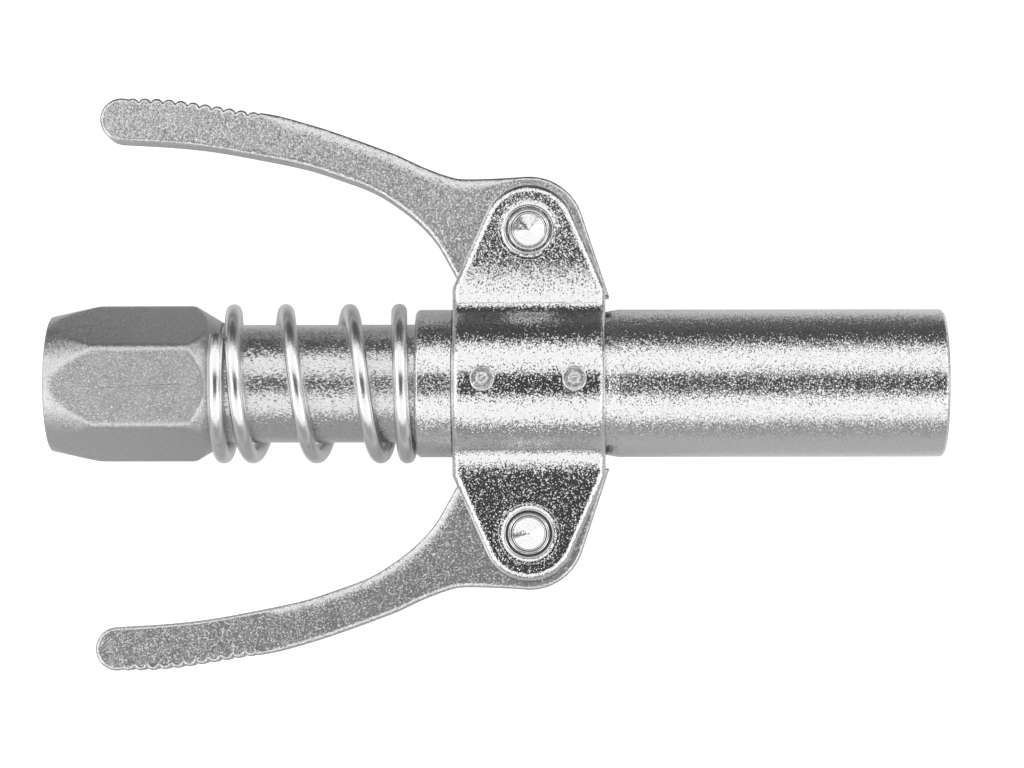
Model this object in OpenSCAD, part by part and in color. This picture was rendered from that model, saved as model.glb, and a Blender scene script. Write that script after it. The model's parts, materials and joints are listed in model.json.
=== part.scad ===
// Lock-on grease coupler with two hand levers, lying flat.
// X runs along the bore from the hose end to the mouth, Y across the levers, Z up. Millimetres.
// The origin is the centre of the hose end's tapped hole.

/* [Inlet nut] */
// Width of the hexagon across its flats
nut_flats = 17.8; // [16:0.1:19]
// Length from the inlet face to the front face
nut_len = 22.3; // [20:0.1:26]
// Radius of the inlet face
nut_face_r = 8.7; // [8.2:0.05:9.2]
// Length of the slender turned taper behind the hexagon
nut_taper_len = 6.5; // [3:0.1:9]
// Length of the cone in front of the hexagon
nut_cone_len = 3.7; // [3:0.1:5]
// Radius of the front face
nut_nose_r = 7.9; // [7.7:0.05:8.3]
// What the turning takes off each corner of the hexagon
nut_corner_cut = 0.2; // [0:0.02:0.3]
// Angle that the hexagon stands turned from lying square
nut_turn = 6; // [0:1:30]
// Radius of the tapped hole for the hose
hose_hole_r = 4.35; // [3.8:0.05:5]
// Depth of the tapped hole
hose_hole_depth = 10.5; // [8:0.1:11]
// Slope of the hole's floor towards the grease passage
hole_floor_angle = 15; // [0:1:20]
// Length of the web between the tapped hole and the socket for the tube
nut_web = 1.8; // [1.2:0.1:2.6]
// Thickness of the soft washer in the socket
washer_thick = 0.8; // [0.5:0.1:1.5]

/* [Body tube] */
// Radius of the drawn tube
tube_r = 7.625; // [7.3:0.025:7.7]
// Radius of the threaded spigot inside the nut
spigot_r = 6.2; // [5.6:0.1:6.6]
// Radius of the grease passage
grease_r = 1.8; // [1.4:0.1:2]
// Radius of the slim nose that carries the jaws
nose_r = 4.9; // [4.6:0.05:5]
// Length of the nose
nose_len = 8; // [7:0.1:9]
// Radius of the chamber through the nose
chamber_r = 3.3; // [3.1:0.05:3.5]
// Length of the chamber from the valve seat to the front of the nose
chamber_len = 19; // [18:0.1:22]

/* [Return spring] */
// Radius of the wire
wire_r = 1.03; // [0.8:0.01:1.1]
// Radius from the axis to the middle of the wire
coil_r = 9.3; // [9:0.05:9.6]
// Turns from one cut end to the other
coil_turns = 4.5; // [3.5:1:5.5]
// Room between the nut and the sleeve
spring_room = 25; // [23:0.5:32]

/* [Outer sleeve] */
// Radius of the sleeve
sleeve_r = 9.525; // [9.3:0.025:9.8]
// Length of the sleeve
sleeve_len = 67.9; // [64:0.1:80]
// Radial clearance on the tube
sleeve_fit = 0.075; // [0.05:0.005:0.1]
// Radius of the turned band under the clamp
band_r = 8.7; // [8.5:0.05:8.9]
// Length of the cove at the front of the band
cove_len = 1.5; // [1.2:0.1:2.5]
// Radius of the mouth at the front face
mouth_r = 8.7; // [8.5:0.05:8.9]
// Half angle of the cone in the mouth that closes the jaws
mouth_angle = 12; // [11:0.5:14]
// Size of the chamfers on the sleeve's ends
sleeve_chamfer = 0.4; // [0.2:0.05:0.6]

/* [Clamp] */
// Thickness of the stamped sheet
sheet = 1.6; // [1.3:0.1:1.8]
// Length of the clamp along the sleeve
clamp_len = 19.6; // [18:0.1:22]
// Distance from the sleeve's back face to the pivots
pivot_inset = 14.55; // [14:0.05:17]
// Distance from the axis to each pivot
pivot_y = 19.5; // [18.5:0.1:21]
// Radius of the bend between barrel and ear
bend_r = 4.4; // [2:0.1:6]
// Height of the ear's straight flank above the bend
ear_flank = 0.1; // [0:0.1:1]
// Radius of the ear's round end
ear_r = 5.95; // [5.5:0.05:6.5]
// Radius of the round boss pressed up round each pin
boss_r = 3.85; // [3.7:0.05:4.2]
// Height of that boss
boss_rise = 0.35; // [0.2:0.05:0.5]
// Distance between the two stake marks
stake_spacing = 11.7; // [10:0.1:13]
// Radius of the raised ring of a stake mark
stake_r = 1.47; // [1.2:0.05:1.7]
// Height of that ring
stake_rise = 0.18; // [0.1:0.02:0.3]
// Radius of the nub that a stake mark presses into the sleeve
nub_r = 0.8; // [0.6:0.05:0.9]
// How far the nub stands into the sleeve
nub_len = 0.45; // [0.3:0.05:0.55]

/* [Pivot pins] */
// Radius of the pin
pin_r = 2.5; // [2.2:0.05:2.7]
// Radius of the pin's head
pin_head_r = 3.2; // [3:0.05:3.5]
// Height of the head over the boss
pin_head_rise = 0.6; // [0.4:0.05:0.9]
// Radius of the turned recess in the head
pin_recess_r = 2.3; // [2:0.05:2.4]

/* [Levers] */
// Thickness of a lever
lever_thick = 5; // [4:0.1:5.6]
// Distance along the coupler from the pivot to the middle of the grip's round end
lever_reach = 52.85; // [48:0.1:56]
// Height of the middle of the round end above the pivot
grip_rise = 14.7; // [14:0.1:16]
// Radius of the grip's round end
grip_end_r = 2.8; // [2.5:0.05:3]
// Radius of the lever round its pivot
hub_r = 7.15; // [7:0.05:7.6]
// Angle that a lever swings when it is squeezed
lever_swing = 20; // [16:1:20]
// Distance from the pivot to the middle of the toe's round end
toe_arm = 12.6; // [12:0.1:13]
// Radius of the toe's round end
toe_r = 1.5; // [1.3:0.05:1.6]
// Half the width of the neck above the toe
toe_neck_half = 1.15; // [1:0.05:1.2]
// Reach of the base towards the hose, from the pivot
base_reach = 9.25; // [8.8:0.05:9.3]
// Drop of the base below the pivot
base_drop = 7.9; // [7:0.1:7.9]
// Reach of the heel towards the mouth, from the pivot
heel_reach = 10.3; // [9:0.1:10.4]
// Drop of the heel below the pivot
heel_drop = 8.4; // [8:0.1:8.6]
// Number of grip teeth
tooth_count = 12; // [8:1:14]
// Spacing of the grip teeth
tooth_pitch = 1.57; // [1.3:0.01:1.7]
// Height of the grip teeth
tooth_rise = 0.45; // [0.3:0.01:0.6]

/* [Jaws] */
// Length of a jaw
jaw_len = 21.3; // [20.5:0.1:22]
// How far the jaws lie back from the sleeve's front face
jaw_recess = 0.5; // [0.3:0.05:0.9]
// Radius of the jaws' shanks
shank_r = 6.9; // [6.7:0.05:7]
// Radius inside the shanks
shank_inner_r = 5.1; // [5.05:0.05:5.3]
// Radius of the gripping lips when the jaws are closed
lip_r = 2.95; // [2.9:0.01:3.1]
// Length of the gripping lips
lip_len = 1.8; // [1.4:0.1:2]
// Radius of the lead-in cone at the jaws' front
lead_r = 4.2; // [3.8:0.1:4.8]
// Angle between that cone's wall and the axis
lead_angle = 48; // [40:1:55]
// Radius of the pocket for a grease nipple's head
pocket_r = 3.9; // [3.7:0.05:4]
// Length of that pocket
pocket_len = 4.6; // [4.4:0.1:4.8]
// Width of the slit between two jaws
slit = 0.4; // [0.3:0.05:0.5]
// Distance from a jaw's tail to its hook
hook_inset = 3.6; // [3.2:0.1:4]
// Length of the hook
hook_len = 1.4; // [1.2:0.1:1.6]
// Depth of the groove that holds the hooks
hook_groove = 0.7; // [0.6:0.05:0.8]
// Radius of the wire of the ring round the tails
ring_wire_r = 0.35; // [0.25:0.05:0.4]

/* [Seal] */
// Radius of the seal carrier's head
carrier_r = 4.6; // [4.5:0.05:4.8]
// Length of the seal carrier's head
carrier_head_len = 3; // [2.8:0.1:3.2]
// Length of the seal carrier's stem
stem_len = 7; // [6.5:0.1:7.2]
// Radius of the passage through the carrier
carrier_hole_r = 1; // [0.8:0.05:1.1]
// Radius of the rubber nose seal
seal_r = 3.35; // [3.1:0.05:3.5]
// Thickness of the rubber nose seal
seal_thick = 2.4; // [2.2:0.1:2.6]
// Radius of the section of the O-ring
o_ring_wire_r = 0.44; // [0.35:0.01:0.5]
// Radius of the wire of the small springs
small_wire_r = 0.25; // [0.2:0.01:0.28]

/* [Check valve] */
// Radius of the ball
ball_r = 2.8; // [2.7:0.05:2.95]
// Lift of the ball off its seat
ball_lift = 1.2; // [1:0.1:1.4]
// Length of the valve's screwed retainer
retainer_len = 3; // [2.6:0.1:3.2]
// Radius of the hole through the retainer
retainer_hole_r = 1.4; // [1.2:0.1:1.6]

/* [Hidden] */

// Fineness of the curves
smooth = 96;
// Overrun of every cut
over = 1;
// Clearance of a screwed or pushed-in piece
fit = 0.03;
// Running clearance of a pin or a stem
run = 0.05;
// Clearance between pieces that only come near each other
near = 0.2;
// Rest gap between curved pieces that bear on each other
touch = 0.05;
// Angle by which two bends of one sheet lap where they join
lap_angle = 1;

// Nut
nut_corner_r = nut_flats / 2 / cos(30) - nut_corner_cut;
nut_cone_x = nut_len - nut_cone_len;
nut_cone_angle = atan((nut_corner_r - nut_nose_r) / nut_cone_len);
socket_x = hose_hole_depth + nut_web;
socket_r = spigot_r + fit;
tube_back_x = socket_x + washer_thick;

// Sleeve and clamp
sleeve_back_x = nut_len + spring_room;
sleeve_front_x = sleeve_back_x + sleeve_len;
bore_r = tube_r + sleeve_fit;
mouth_len = (mouth_r - bore_r) / tan(mouth_angle);
mouth_x = sleeve_front_x - mouth_len;
pivot_x = sleeve_back_x + pivot_inset;
clamp_back_x = pivot_x - clamp_len / 2;
clamp_front_x = pivot_x + clamp_len / 2;
clamp_inner_r = band_r + fit;
clamp_outer_r = clamp_inner_r + sheet;
cove_r = (pow(cove_len, 2) + pow(sleeve_r - band_r, 2)) / (2 * (sleeve_r - band_r));
ear_inner_z = lever_thick / 2 + 3 * run;
ear_outer_z = ear_inner_z + sheet;
bend_z = ear_outer_z + bend_r;
bend_y = sqrt(pow(clamp_outer_r + bend_r, 2) - pow(bend_z, 2));
bend_angle = atan2(bend_z, bend_y);
pin_top_z = ear_outer_z + boss_rise + pin_head_rise;

// Levers: the toe swings evenly to both sides of square
toe_lead = lever_swing / 2;
toe_x = pivot_x - toe_arm * sin(toe_lead);
toe_floor_r = pivot_y - toe_arm - toe_r - near;
slot_half = (pivot_y - bore_r) * tan(toe_lead) + toe_r / cos(toe_lead) + near;
tooth_r = (pow(tooth_pitch / 2, 2) + pow(tooth_rise, 2)) / (2 * tooth_rise);
// Height of the base's back corner, as a share of the base's drop
back_corner_share = 0.78;
// Points of the lever's edges between grip and hub, as shares of its reach, x and y from the pivot
outer_edge_shares = [
  [-0.915, 0.33], [-0.842, 0.323], [-0.695, 0.299], [-0.622, 0.288], [-0.548, 0.268],
  [-0.475, 0.245], [-0.328, 0.191], [-0.254, 0.157], [-0.183, 0.132], [-0.145, 0.129],
  [-0.072, 0.131]
];
inner_edge_shares = [
  [-0.882, 0.218], [-0.787, 0.208], [-0.694, 0.192], [-0.55, 0.162], [-0.466, 0.135],
  [-0.387, 0.105], [-0.332, 0.072], [-0.273, 0.026], [-0.228, -0.024], [-0.199, -0.073]
];

// Jaws
jaw_front_x = sleeve_front_x - jaw_recess;
jaw_back_x = jaw_front_x - jaw_len;
tube_front_x = jaw_back_x - 2 * near;
nose_front_x = tube_front_x + nose_len;
hook_x = jaw_back_x + hook_inset;
hook_r = nose_r - hook_groove + near / 2;
tail_inner_r = shank_inner_r + near / 2;
jaw_cone_r = bore_r - near / 2;
jaw_front_r = jaw_cone_r + (jaw_front_x - mouth_x) * tan(mouth_angle);
lip_front_x = jaw_front_x - (lead_r - lip_r) / tan(lead_angle);
lip_back_x = lip_front_x - lip_len;
shoulder_x = lip_back_x - pocket_len;
ring_x = jaw_back_x + ring_wire_r + 3 * near;
ring_r = shank_r - ring_wire_r;

// Seal carrier and its spring
carrier_front_x = shoulder_x - near;
carrier_back_x = carrier_front_x - carrier_head_len;
stem_back_x = carrier_back_x - stem_len;
stem_r = chamber_r - run;
seal_back_x = carrier_front_x + near - seal_thick;
o_ring_r = stem_r - o_ring_wire_r - fit;
// Place of the O-ring, as a share of the stem from its front
o_ring_share = 0.6;
o_ring_x = carrier_back_x - o_ring_share * stem_len;
// Pitch of a small spring's closed ends, as a share of its wire's radius
closed_pitch_share = 2.1;

// Check valve
seat_x = nose_front_x - chamber_len;
ball_x = seat_x - grease_r + (ball_r + touch) * sqrt(2);
valve_coil_r = ball_r - 2 * small_wire_r;
valve_coil_x = ball_x + sqrt(pow(ball_r + small_wire_r + touch, 2) - pow(valve_coil_r, 2));
retainer_x = stem_back_x - retainer_len - 2 * ball_lift + near;

// Spring: places of the wire at even steps along it, as shares of the free length
coil_start_turn = 0.15;
coil_place_shares = [0, 0.017, 0.071, 0.165, 0.322, 0.473, 0.625, 0.788, 0.908, 0.972, 1];
coil_x = nut_cone_x + (wire_r + touch + (nut_corner_r - coil_r) * cos(nut_cone_angle))
  / sin(nut_cone_angle);
coil_len = sleeve_back_x - wire_r - touch - coil_x;

// Slope of a curve through points at point i
function slope(p, i) = let (a = max(i - 1, 0), b = min(i + 1, len(p) - 1))
  (p[b].y - p[a].y) / (p[b].x - p[a].x);

// Point at share s of the stretch from point i to the next
function between(p, i, s) = let (h = p[i + 1].x - p[i].x) [
  p[i].x + s * h,
  (1 + 2 * s) * pow(1 - s, 2) * p[i].y + s * pow(1 - s, 2) * h * slope(p, i)
  + s * s * (3 - 2 * s) * p[i + 1].y - s * s * (1 - s) * h * slope(p, i + 1)
];

// Smooth curve through points whose x rises
function curve(p, steps) = [
  for (i = [0:len(p) - 2]) for (j = [0:steps - 1]) between(p, i, j / steps), p[len(p) - 1]
];

// Height of that curve over x
function height_at(p, x) = let (i = max([for (k = [0:len(p) - 2]) p[k].x <= x ? k : 0]))
  between(p, i, (x - p[i].x) / (p[i + 1].x - p[i].x)).y;

// Point where a line from point p touches a circle of radius r about the origin, on its far side
function touch_point(p, r, side) = let (a = atan2(p.y, p.x) + side * acos(r / norm(p)))
  [r * cos(a), r * sin(a)];

// Points of an arc
function arc(c, r, a, b, steps) = [
  for (i = [0:steps]) let (t = a + (b - a) * i / steps) [c.x + r * cos(t), c.y + r * sin(t)]
];

// Solid turned about the coupler's axis, from points [radius, x]
module turned(outline) {
  rotate([0, 90, 0]) rotate_extrude($fn = smooth) polygon(outline);
}

// Bar along the coupler's axis, from a flat outline in Y and Z
module barred(x, len) {
  translate([x, 0, 0]) rotate([90, 0, 90]) linear_extrude(len) children();
}

// Wire along points, with a frame at each from the coil's own radius
module wire(centres, radials, r, sides) {
  last = len(centres) - 1;
  points = [
    for (i = [0:last])
      let (
        ahead = centres[min(i + 1, last)] - centres[max(i - 1, 0)],
        aside = cross(ahead / norm(ahead), radials[i])
      )
      for (k = [0:sides - 1])
        centres[i] + r * (cos(360 * k / sides) * radials[i] + sin(360 * k / sides) * aside)
  ];
  walls = [
    for (i = [0:last - 1]) for (k = [0:sides - 1])
      let (a = i * sides + k, b = i * sides + (k + 1) % sides)
      [a, b, b + sides, a + sides]
  ];
  triangles = [for (w = walls) for (half = [[w[0], w[2], w[1]], [w[0], w[3], w[2]]]) half];
  ends = [[for (k = [0:sides - 1]) k], [for (k = [sides - 1:-1:0]) last * sides + k]];
  polyhedron(points, concat(triangles, ends));
}

// Compression spring about the axis, with closed ends
module small_coil(x, len, r, wire, turns) {
  steps = 20;
  count = turns * steps;
  closed = closed_pitch_share * wire;
  rise = len - 2 * closed;
  function place(n) = let (body = min(max((n - 1) / (turns - 2), 0), 1))
    x + closed * (min(n, 1) + max(n - turns + 1, 0)) + rise * body;
  radials = [for (i = [0:count]) let (a = 360 * i / steps) [0, cos(a), sin(a)]];
  centres = [for (i = [0:count]) [place(i / steps), 0, 0] + r * radials[i]];
  wire(centres, radials, wire, 8);
}

module inlet_nut() {
  color("lightgray") difference() {
    intersection() {
      turned([
        [0, 0], [nut_face_r, 0], [nut_corner_r, nut_taper_len],
        [nut_corner_r, nut_cone_x], [nut_nose_r, nut_len], [0, nut_len]
      ]);
      rotate([nut_turn, 0, 0]) rotate([0, 90, 0]) rotate([0, 0, 30])
        cylinder(r = nut_flats / 2 / cos(30), h = nut_len, $fn = 6);
    }
    turned([
      [0, -over], [hose_hole_r, -over], [hose_hole_r, hose_hole_depth],
      [grease_r, hose_hole_depth + (hose_hole_r - grease_r) * tan(hole_floor_angle)],
      [grease_r, socket_x], [socket_r, socket_x], [socket_r, nut_len + over], [0, nut_len + over]
    ]);
  }
}

module nut_washer() {
  color("peru") turned([
    [grease_r + near, socket_x], [socket_r - near, socket_x],
    [socket_r - near, tube_back_x], [grease_r + near, tube_back_x]
  ]);
}

module body_tube() {
  toe_half = toe_r + 2 * run;
  color("silver") turned([
    [grease_r, tube_back_x], [spigot_r - near, tube_back_x], [spigot_r, tube_back_x + near],
    [spigot_r, nut_len], [tube_r, nut_len],
    [tube_r, toe_x - toe_half], [toe_floor_r, toe_x - toe_half],
    [toe_floor_r, toe_x + toe_half], [tube_r, toe_x + toe_half],
    [tube_r, tube_front_x - near], [tube_r - near, tube_front_x], [nose_r, tube_front_x],
    [nose_r, hook_x - hook_len / 2 - near], [nose_r - hook_groove, hook_x - hook_len / 2 - near],
    [nose_r - hook_groove, hook_x + hook_len / 2 + near], [nose_r, hook_x + hook_len / 2 + near],
    [nose_r, nose_front_x - near], [nose_r - near, nose_front_x],
    [chamber_r, nose_front_x], [chamber_r, seat_x + chamber_r - grease_r], [grease_r, seat_x]
  ]);
}

module return_spring() {
  steps = 32;
  count = round(coil_turns * steps);
  last = len(coil_place_shares) - 1;
  places = [
    for (i = [0:last])
      [coil_start_turn + coil_turns * i / last, coil_x + coil_len * coil_place_shares[i]]
  ];
  turns = [for (i = [0:count]) coil_start_turn + coil_turns * i / count];
  radials = [for (t = turns) [0, cos(360 * t), sin(360 * t)]];
  centres = [for (i = [0:count]) [height_at(places, turns[i]), 0, 0] + coil_r * radials[i]];
  color("gainsboro") wire(centres, radials, wire_r, 12);
}

module outer_sleeve() {
  band_x = clamp_back_x - touch;
  cove_start = [clamp_front_x + touch, band_r + cove_r];
  cove_end = 270 + asin(cove_len / cove_r);
  cove = [for (p = arc(cove_start, cove_r, 270, cove_end, 6)) [p.y, p.x]];
  color("silver") difference() {
    turned(concat(
      [
        [bore_r + near, sleeve_back_x], [sleeve_r - sleeve_chamfer, sleeve_back_x],
        [sleeve_r, sleeve_back_x + sleeve_chamfer], [sleeve_r, band_x], [band_r, band_x]
      ],
      cove,
      [
        [sleeve_r, sleeve_front_x - sleeve_chamfer], [sleeve_r - sleeve_chamfer, sleeve_front_x],
        [mouth_r, sleeve_front_x], [bore_r, mouth_x], [bore_r, sleeve_back_x + near]
      ]
    ));
    translate([pivot_x, 0, 0])
      cube([2 * slot_half, 4 * sleeve_r, lever_thick + 2 * near], center = true);
    for (side = [-1, 1]) for (end = [-1, 1])
      translate([pivot_x + end * stake_spacing / 2, 0, side * (band_r - nub_len / 2)])
        cylinder(r = nub_r + run, h = nub_len + 2 * touch + near, center = true, $fn = smooth);
  }
}

// Sector of a ring, flat
module ring_sector(r_in, r_out, a, b) {
  reach = 2 * r_out;
  intersection() {
    difference() {
      circle(r = r_out, $fn = smooth);
      circle(r = r_in, $fn = smooth);
    }
    polygon(concat([[0, 0]], arc([0, 0], reach, a, b, 4)));
  }
}

// One ear with its boss, its pivot at the origin and its inner face at height 0
module ear() {
  corner = [clamp_len / 2, bend_y + ear_flank - pivot_y];
  root = bend_y - sheet / 20 - pivot_y;
  round_end = touch_point(corner, ear_r, 1);
  linear_extrude(sheet) polygon([
    [-corner.x, root], [corner.x, root], corner, round_end,
    [-round_end.x, round_end.y], [-corner.x, corner.y]
  ]);
  cylinder(r = ear_r, h = sheet, $fn = smooth);
  cylinder(r = boss_r, h = sheet + boss_rise / 2, $fn = smooth);
  translate([0, 0, sheet + boss_rise / 2])
    cylinder(r1 = boss_r, r2 = boss_r - boss_rise / 2, h = boss_rise / 2, $fn = smooth);
}

// Stake mark: a raised ring outside and a nub inside, pressed in one blow
module stake() {
  difference() {
    union() {
      translate([0, 0, clamp_inner_r - nub_len]) cylinder(r = nub_r, h = nub_len + sheet / 2, $fn = smooth);
      translate([0, 0, clamp_outer_r - sheet / 2])
        cylinder(r = stake_r, h = sheet / 2 + stake_rise, $fn = smooth);
    }
    translate([0, 0, clamp_outer_r - nub_len])
      cylinder(r1 = nub_r / 2, r2 = nub_r, h = nub_len + 2 * stake_rise, $fn = smooth);
  }
}

module clamp_half() {
  difference() {
    union() {
      difference() {
        union() {
          barred(clamp_back_x, clamp_len)
            ring_sector(clamp_inner_r, clamp_outer_r, bend_angle, 180 - bend_angle);
          for (side = [0, 1]) mirror([0, side, 0]) translate([0, bend_y, bend_z])
            barred(clamp_back_x, clamp_len)
              ring_sector(bend_r, bend_r + sheet, 180 + bend_angle - lap_angle, 270 + lap_angle);
        }
        for (end = [-1, 1]) translate([pivot_x + end * stake_spacing / 2, 0, clamp_outer_r])
          cylinder(r = nub_r, h = sheet, center = true, $fn = smooth);
      }
      for (end = [-1, 1]) translate([pivot_x + end * stake_spacing / 2, 0, 0]) stake();
      for (side = [0, 1]) mirror([0, side, 0]) translate([pivot_x, pivot_y, ear_inner_z]) ear();
    }
    for (side = [-1, 1]) translate([pivot_x, side * pivot_y, 0])
      cylinder(r = pin_r + fit, h = pin_top_z + over, $fn = smooth);
  }
}

module clamp_front() {
  color("silver") clamp_half();
}

module clamp_back() {
  color("silver") rotate([180, 0, 0]) clamp_half();
}

module pivot_pin(side) {
  under_z = ear_outer_z + boss_rise;
  rim = pin_head_r - pin_recess_r;
  dish = pin_head_rise / 2;
  // Edge of one head from the shank to the middle of its recess, as [radius, height]
  head = [
    [pin_r, under_z], [pin_head_r, under_z], [pin_head_r, pin_top_z - dish],
    [pin_head_r - dish / 2, pin_top_z], [pin_recess_r + rim / 4, pin_top_z],
    [pin_recess_r, pin_top_z - dish / 2], [pin_recess_r - rim / 5, pin_top_z - dish],
    [0, pin_top_z - 3 * dish]
  ];
  foot = [for (i = [len(head) - 1:-1:0]) [head[i].x, -head[i].y]];
  color("white") translate([pivot_x, side * pivot_y, 0])
    rotate_extrude($fn = smooth) polygon(concat(foot, head));
}

// Lever with no pin hole, its pivot at the origin and its grip towards the hose
module lever_blank() {
  grip_end = [-lever_reach, grip_rise];
  outer = concat(
    [[-lever_reach, grip_rise + grip_end_r]], lever_reach * outer_edge_shares, [[0, hub_r]]);
  inner = concat(
    [[-lever_reach, grip_rise - grip_end_r]], lever_reach * inner_edge_shares,
    [[-base_reach, -base_drop * back_corner_share]]);
  teeth_x = -lever_reach - grip_end_r / 3;
  teeth_end = teeth_x + tooth_count * tooth_pitch;
  edge = [
    for (p = curve(outer, 6)) p.x < teeth_end ? [p.x, p.y - tooth_rise] : p
  ];
  back = curve(inner, 6);
  heel = [heel_reach, -heel_drop];
  linear_extrude(lever_thick) polygon(concat(
    edge, [touch_point(heel, hub_r, 1), heel, [-base_reach, -base_drop]],
    [for (i = [len(back) - 1:-1:0]) back[i]]
  ));
  cylinder(r = hub_r, h = lever_thick, $fn = smooth);
  translate(grip_end) cylinder(r = grip_end_r, h = lever_thick, $fn = smooth);
  for (i = [0:tooth_count - 1]) {
    x = teeth_x + (i + 0.5) * tooth_pitch;
    crest = x < -lever_reach ? grip_rise + grip_end_r : height_at(outer, x);
    translate([x, crest - tooth_r]) cylinder(r = tooth_r, h = lever_thick, $fn = smooth);
  }
  rotate(-toe_lead) {
    translate([0, -toe_arm]) cylinder(r = toe_r, h = lever_thick, $fn = smooth);
    translate([-toe_neck_half, -toe_arm])
      cube([2 * toe_neck_half, toe_arm - pin_r - toe_r, lever_thick]);
  }
}

module lever() {
  translate([pivot_x, pivot_y, -lever_thick / 2]) difference() {
    lever_blank();
    translate([0, 0, -over]) cylinder(r = pin_r + run, h = lever_thick + 2 * over, $fn = smooth);
  }
}

module lever_upper() {
  color("darkgray") lever();
}

module lever_lower() {
  color("darkgray") rotate([180, 0, 0]) lever();
}

// One quarter of the collet, numbered round the axis from +Y
module jaw(number) {
  ring_half = ring_wire_r + near;
  ring_floor_r = ring_r - ring_wire_r - touch;
  apex = slit / sqrt(2);
  reach = 2 * mouth_r;
  color("dimgray") intersection() {
    turned([
      [tail_inner_r, jaw_back_x], [shank_r, jaw_back_x],
      [shank_r, ring_x - ring_half], [ring_floor_r, ring_x - ring_half],
      [ring_floor_r, ring_x + ring_half], [shank_r, ring_x + ring_half],
      [shank_r, shoulder_x], [jaw_cone_r, mouth_x],
      [jaw_front_r - near, jaw_front_x - near], [jaw_front_r - 2 * near, jaw_front_x],
      [lead_r, jaw_front_x], [lip_r, lip_front_x], [lip_r, lip_back_x],
      [pocket_r, lip_back_x - near], [pocket_r, shoulder_x], [shank_inner_r, shoulder_x],
      [shank_inner_r, hook_x + hook_len / 2], [hook_r, hook_x + hook_len / 2],
      [hook_r, hook_x - hook_len / 2], [tail_inner_r, hook_x - hook_len / 2]
    ]);
    rotate([90 * (number - 1), 0, 0]) barred(jaw_back_x - over, jaw_len + 2 * over)
      polygon([[apex, 0], [apex + reach, -reach], [apex + reach, reach]]);
  }
}

module jaw_ring() {
  color("gray") rotate([0, 90, 0]) translate([0, 0, ring_x])
    rotate_extrude($fn = smooth) translate([ring_r, 0]) circle(r = ring_wire_r, $fn = 24);
}

module seal_carrier() {
  groove_half = o_ring_wire_r + near;
  groove_r = o_ring_r - o_ring_wire_r - fit;
  color("goldenrod") turned([
    [carrier_hole_r, stem_back_x], [stem_r - near, stem_back_x], [stem_r, stem_back_x + near],
    [stem_r, o_ring_x - groove_half], [groove_r, o_ring_x - groove_half],
    [groove_r, o_ring_x + groove_half], [stem_r, o_ring_x + groove_half],
    [stem_r, carrier_back_x], [carrier_r, carrier_back_x], [carrier_r, carrier_front_x],
    [seal_r + fit, carrier_front_x], [seal_r + fit, seal_back_x], [carrier_hole_r, seal_back_x]
  ]);
}

module nose_seal() {
  color("black") turned([
    [carrier_hole_r, seal_back_x], [seal_r, seal_back_x], [seal_r, seal_back_x + seal_thick],
    [carrier_hole_r + near, seal_back_x + seal_thick], [carrier_hole_r, seal_back_x + seal_thick - near]
  ]);
}

module carrier_o_ring() {
  color("black") rotate([0, 90, 0]) translate([0, 0, o_ring_x])
    rotate_extrude($fn = smooth) translate([o_ring_r, 0]) circle(r = o_ring_wire_r, $fn = 24);
}

module carrier_spring() {
  x = nose_front_x + small_wire_r + touch;
  coil = (stem_r + shank_inner_r) / 2;
  color("gray") small_coil(x, carrier_back_x - small_wire_r - touch - x, coil, small_wire_r, 4);
}

module check_ball() {
  color("white") translate([ball_x, 0, 0]) rotate([0, 90, 0]) sphere(r = ball_r, $fn = smooth);
}

module check_spring() {
  len = retainer_x - small_wire_r - touch - valve_coil_x;
  color("gray") small_coil(valve_coil_x, len, valve_coil_r, small_wire_r, 5);
}

module valve_retainer() {
  outer_r = chamber_r - fit;
  color("silver") turned([
    [retainer_hole_r, retainer_x], [outer_r - near, retainer_x], [outer_r, retainer_x + near],
    [outer_r, retainer_x + retainer_len], [retainer_hole_r, retainer_x + retainer_len]
  ]);
}

inlet_nut();
nut_washer();
body_tube();
return_spring();
outer_sleeve();
clamp_front();
clamp_back();
pivot_pin(1);  // pivot_pin_upper
pivot_pin(-1);  // pivot_pin_lower
lever_upper();
lever_lower();
jaw(1);  // jaw_1
jaw(2);  // jaw_2
jaw(3);  // jaw_3
jaw(4);  // jaw_4
jaw_ring();
seal_carrier();
nose_seal();
carrier_o_ring();
carrier_spring();
check_ball();
check_spring();
valve_retainer();
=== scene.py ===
"""Looks and studio of a lock-on grease coupler, dressed over its CAD frame."""

import json
import math

import bmesh
import bpy
from bpy.props import FloatProperty, FloatVectorProperty, PointerProperty
from mathutils import Matrix, Vector, noise


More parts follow.
